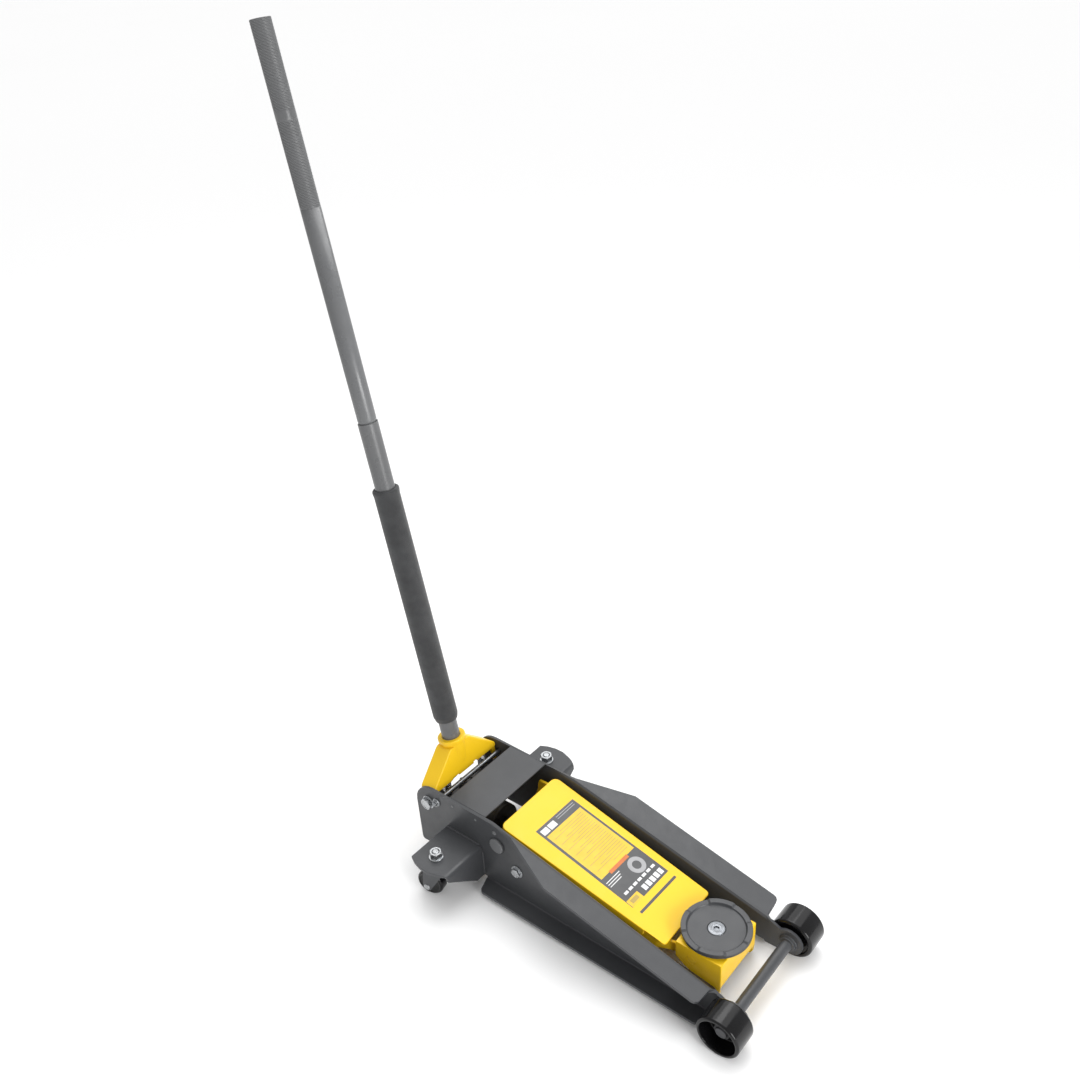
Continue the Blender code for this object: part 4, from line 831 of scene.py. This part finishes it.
def saddle_outline(low, high, recess):
    """The plate's (radius, height) outline: a hub below, a dished floor and a bore for the screw."""
    rim = high - SADDLE_STEP
    floor = high - SADDLE_DEPTH
    seat = low + SADDLE_SEAT
    bore, hub, skirt, head = 0.0055, 0.012, 0.034, 0.0150
    return [(bore, low), (hub, low), (hub, seat), (skirt, seat), (SADDLE_RADIUS - 0.004, seat + 0.0022),
            (SADDLE_RADIUS, seat + 0.0055), (SADDLE_RADIUS, rim), (SADDLE_DISH, rim),
            (SADDLE_DISH - 0.0015, floor), (head, floor), (head, recess), (bore, recess)]


def saddle_plate(low, high, recess):
    """The plate, whose rim stands up by a step in every other of its eight runs."""
    rim = high - SADDLE_STEP
    floor = high - SADDLE_DEPTH
    steps = 2 * SADDLE_RUNS * 28
    rings = []
    for radius, height in rounded(saddle_outline(low, high, recess), 0.0010, True, 4):
        share = 0.0
        if radius > SADDLE_DISH - 0.002:
            share = max(0.0, min(1.0, (height - floor) / (rim - floor)))
        ring = []
        for i in range(steps):
            a = 2 * pi * i / steps
            raised = max(0.0, min(1.0, 0.5 + sin(SADDLE_RUNS * a) / SADDLE_EASE / 2.0))
            ring.append((radius * cos(a), radius * sin(a), height + SADDLE_STEP * raised * share))
        rings.append(ring)
    return loft(rings, True)


def saddle_screw(foot, under, top):
    """A screw with a shank from `foot` to `under` and a wide flat head with a hexagon socket."""
    shank = [round_ring(0.0, foot), round_ring(0.0047, foot), round_ring(0.0050, foot + 0.0006),
             round_ring(0.0050, under)]
    head = [round_ring(SCREW_HEAD, under), round_ring(SCREW_HEAD, top - 0.0010),
            round_ring(SCREW_HEAD - 0.0008, top - 0.0002), round_ring(0.0132, top)]
    dish = [round_ring(0.0090, top), round_ring(0.0086, top - 0.0004), round_ring(0.0066, top - 0.0004)]
    socket = [hexagon_ring(0.0054, top - 0.0006), hexagon_ring(0.0052, under + 0.0006),
              round_ring(0.0, under + 0.0004)]
    return loft(shank + head + dish + socket)


def make_saddle():
    screw = middle("saddle_screw")
    place = Matrix.Translation((screw.x, screw.y, 0.0))
    low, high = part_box("saddle_plate")
    recess = high.z - SADDLE_DEPTH - SCREW_RECESS
    bm = saddle_plate(low.z, high.z, recess)
    plate = add_piece("saddle_plate_fine", bm, "grey", "saddle", ("saddle_plate",), place)
    weight_normals(plate)
    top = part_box("saddle_screw")[1].z
    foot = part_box("saddle_screw")[0].z
    bm = saddle_screw(foot, recess + GAP, top)
    made = add_piece("saddle_screw_fine", bm, "dull", "saddle", ("saddle_screw",), place)
    made.data.set_sharp_from_angle(angle=radians(30))


# ---------------------------------------------------------------- power unit

def make_power_unit():
    refined("pump_block", "cast", 0.0012)
    refined("thrust_plate", "rolled", 0.0008)
    refined("filler_plug", "cast", 0.0004)
    refined("release_valve", "cast", 0.0004)
    # The ram cylinder and its gland take the dark cast finish as painted shade for the dark gap they sit in.
    for node, finish, steps in (("oil_reservoir", "cast", 20), ("ram_cylinder", "cast", 16),
                                ("cylinder_gland", "cast", 20), ("ram_rod", "rolled", 16)):
        finer(node, finish, axis_place(middle(node), (1, 0, 0), (0, 1, 0)), steps)
    finer("pump_plunger", "chrome", z_axis("pump_plunger"), 12)
    NODES["plunger_spring"].data.materials.clear()
    NODES["plunger_spring"].data.materials.append(FINISHES["turned"])


# ---------------------------------------------------------------- yoke and handle

def yoke_wedge():
    """The block that the yoke is carved from: two wings that slope up to a shoulder."""
    outline = rounded(mirrored([(WING, YOKE_SKIRT), (WING, WING_TOP), YOKE_SHOULDER]), 0.0055, True, 5)
    wedge = prism(outline, -YOKE_DEPTH, YOKE_DEPTH, along_x)
    rims = [edge for edge in wedge.edges if abs(edge.verts[0].co.x - edge.verts[1].co.x) < WELD]
    bmesh.ops.bevel(wedge, geom=rims, offset=0.0026, segments=4, affect="EDGES", profile=0.6)
    return wedge


def yoke_neck():
    lip = COLLAR_TOP - COLLAR_HEIGHT
    outline = [(0, 0.024), (0.0170, 0.024), (0.0200, 0.042), (0.0225, 0.070), (0.0228, lip),
               (COLLAR_RADIUS, lip), (COLLAR_RADIUS, COLLAR_TOP), (0, COLLAR_TOP)]
    return lathe(rounded(outline, 0.0016, False, 5), False)


def yoke_cavity():
    inside = WING - YOKE_WALL
    outline = mirrored([(inside, -0.030), (inside, 0.0240), (0.045, 0.0490)])
    return prism(outline, -0.0125, 0.0125, along_x)


def yoke_socket():
    top = COLLAR_TOP + 0.01
    return lathe([(0, SOCKET_FLOOR), (SOCKET_RADIUS, SOCKET_FLOOR), (SOCKET_RADIUS, top), (0, top)], False)


def yoke_ears():
    """An ear round each bolt and the bolt's hole through it."""
    steps = []
    for _, sign in SIDES:
        ear = arc((0, 0), EAR_RADIUS, 180, 360, 24) + [(EAR_RADIUS, EAR_TOP), (-EAR_RADIUS, EAR_TOP)]
        steps.append(("UNION", prism(ear, sign * (WING - 0.010), sign * (WING - 0.0015), along_y)))
        hole = arc((0, 0), BOLT_HOLE, 0, 360, 48)[:-1]
        steps.append(("DIFFERENCE", prism(hole, sign * (WING - 0.02), sign * (WING + 0.004), along_y)))
    return steps


def yoke_cam():
    tip = arc(CAM_TIP, CAM_RADIUS, 180, 360, 16)
    return prism(tip + [(CAM_TIP[0] + CAM_RADIUS, 0.040), (-0.017, 0.040)], -0.036, -0.024, along_y)


def yoke_notch(y, half):
    """A notch in the front skirt, narrower at its top."""
    foot, lean = -0.01, 0.003
    outline = [(y - half, foot), (y + half, foot), (y + half - lean, NOTCH_TOP), (y - half + lean, NOTCH_TOP)]
    return prism(outline, 0.009, 0.024, along_x)


def make_yoke(place):
    """The handle's socket: flat slanting wings from side plate to side plate, a round neck that stands out
    of them, a collar, an ear on each bolt and the cam over the plunger."""
    steps = [("UNION", yoke_neck()), ("DIFFERENCE", yoke_cavity()), ("DIFFERENCE", yoke_socket())]
    steps += yoke_ears()
    steps += [("UNION", yoke_cam()), ("DIFFERENCE", yoke_notch(0.026, 0.008)),
              ("DIFFERENCE", yoke_notch(-0.0270, 0.0120))]
    bm = carved(yoke_wedge(), steps)
    made = add_piece("handle_yoke_fine", bm, "yellow", "yoke", ("handle_yoke",), place)
    round_edges(made, 0.0009, 3, 32.0)


def knurl_lift(angle, height):
    """Relief of the one-way knurl at a point of the upper tube: none on the plain band."""
    below, above = KNURL_BAND
    if height < KNURL_BOTTOM or below < height < above:
        return 0.0
    edge = min(abs(height - limit) for limit in (KNURL_BOTTOM, below, above))
    fade = min(1.0, edge / KNURL_RISE)
    return -0.5 * KNURL_DEPTH * fade * (1.0 - sin(KNURL_STARTS * angle + 2 * pi * height / KNURL_RISE))


def smooth_tube(split):
    """The plain length of the upper tube, necked down at its foot, up to the height `split`."""
    outline = [(UPPER_BORE, split), (UPPER_BORE, UPPER_BOTTOM), (UPPER_NECK, UPPER_BOTTOM),
               (UPPER_NECK, UPPER_SHOULDER), (UPPER_RADIUS, UPPER_SHOULDER + 0.003), (UPPER_RADIUS, split)]
    return lathe(rounded(outline, 0.0012, False), True)


def knurled_tube(split):
    """The knurled length of the upper tube, from the height `split` to its softened top edge."""
    rise = KNURL_RISE / KNURL_ROWS
    count = ceil((UPPER_TOP - 0.0012 - KNURL_BOTTOM) / rise)
    rows = [(UPPER_BORE, UPPER_TOP), (UPPER_BORE, split), (UPPER_RADIUS - 0.0002, split)]
    rows += [(UPPER_RADIUS, KNURL_BOTTOM + i * rise) for i in range(count)]
    rows += [(UPPER_RADIUS, UPPER_TOP - TUBE_LIP), (UPPER_RADIUS - 0.0003, UPPER_TOP - 0.0003),
             (UPPER_RADIUS - TUBE_LIP, UPPER_TOP)]
    rings = []
    for radius, height in rows:
        ring = []
        for i in range(TUBE_STEPS):
            a = 2 * pi * i / TUBE_STEPS
            lift = knurl_lift(a, height) if radius >= UPPER_RADIUS else 0.0
            ring.append(((radius + lift) * cos(a), (radius + lift) * sin(a), height))
        rings.append(ring)
    return loft(rings, True)


def make_upper_tube(place):
    split = KNURL_BOTTOM - 0.001
    add_piece("handle_smooth_tube_fine", smooth_tube(split), "handle", "handle", (), place)
    grip = knurled_tube(split)
    # The knurled length takes the darker grip finish as painted shade for its valleys.
    add_piece("handle_upper_tube_fine", grip, "grip", "handle", ("handle_upper_tube",), place)


def make_handle():
    place = axis_place(LEAN_AT, LEAN, (1, 0, 0))
    make_yoke(place)
    finer("handle_lower_tube", "grip", place, 16)
    make_upper_tube(place)
    sleeve = finer("foam_sleeve", "foam", place, 16, 0.002)
    finer("release_drive", "cast", place, 16)


# ---------------------------------------------------------------- stage

def make_stage():
    floor = bpy.data.meshes.new("floor")
    corners = [(x * FLOOR_REACH, y * FLOOR_REACH, 0) for x, y in ((-1, -1), (1, -1), (1, 1), (-1, 1))]
    floor.from_pydata(corners, [], [(0, 1, 2, 3)])
    floor.materials.append(Surface("studio_floor", (0.95, 0.95, 0.95), 0.7).mottle(0.006, 0.08).made)
    made = bpy.data.objects.new("floor", floor)
    bpy.context.scene.collection.objects.link(made)
    made.location.z = CAD_BOX[0].z - FLOOR_DROP


def add_light(name, at, target, size, power):
    data = bpy.data.lights.new(name, "AREA")
    data.shape = "RECTANGLE"
    data.size, data.size_y = size
    data.energy = power
    made = bpy.data.objects.new(name, data)
    made.location = at
    made.rotation_euler = (Vector(target) - Vector(at)).to_track_quat("-Z", "Y").to_euler()
    bpy.context.scene.collection.objects.link(made)


def make_lights():
    world = bpy.data.worlds.new("studio")
    world.use_nodes = True
    dome = world.node_tree.nodes["Background"]
    dome.inputs["Color"].default_value = (1.0, 1.0, 1.0, 1.0)
    dome.inputs["Strength"].default_value = DOME_STRENGTH
    bpy.context.scene.world = world
    sun = bpy.data.lights.new("soft_sun", "SUN")
    sun.energy = SUN_POWER
    sun.angle = SUN_WIDTH
    made = bpy.data.objects.new("soft_sun", sun)
    made.rotation_euler = SUN_TILT
    bpy.context.scene.collection.objects.link(made)
    add_light("overhead", (-0.5, 0.9, 2.6), (0.0, 0.0, 0.2), (1.6, 1.6), 22.0)
    add_light("front_fill", (3.0, -0.5, 1.1), (-0.1, 0.0, 0.15), (1.4, 1.4), 62.0)


def make_camera():
    data = bpy.data.cameras.new("camera")
    data.lens = CAMERA_LENS
    data.sensor_width = 36.0
    data.shift_x, data.shift_y = CAMERA_SHIFT
    data.clip_start = 0.05
    made = bpy.data.objects.new("camera", data)
    up = CAMERA_UP.normalized()
    back = -CAMERA_FORWARD.normalized()
    made.matrix_world = Matrix((up.cross(back), up, back)).transposed().to_4x4()
    made.location = CAMERA_AT
    bpy.context.scene.collection.objects.link(made)
    bpy.context.scene.camera = made
    bpy.context.scene.view_settings.view_transform = "Standard"


make_frame()
make_welds()
make_casters()
make_fasteners()
make_arm()
make_label()
make_saddle()
make_power_unit()
make_handle()
make_stage()
make_lights()
make_camera()
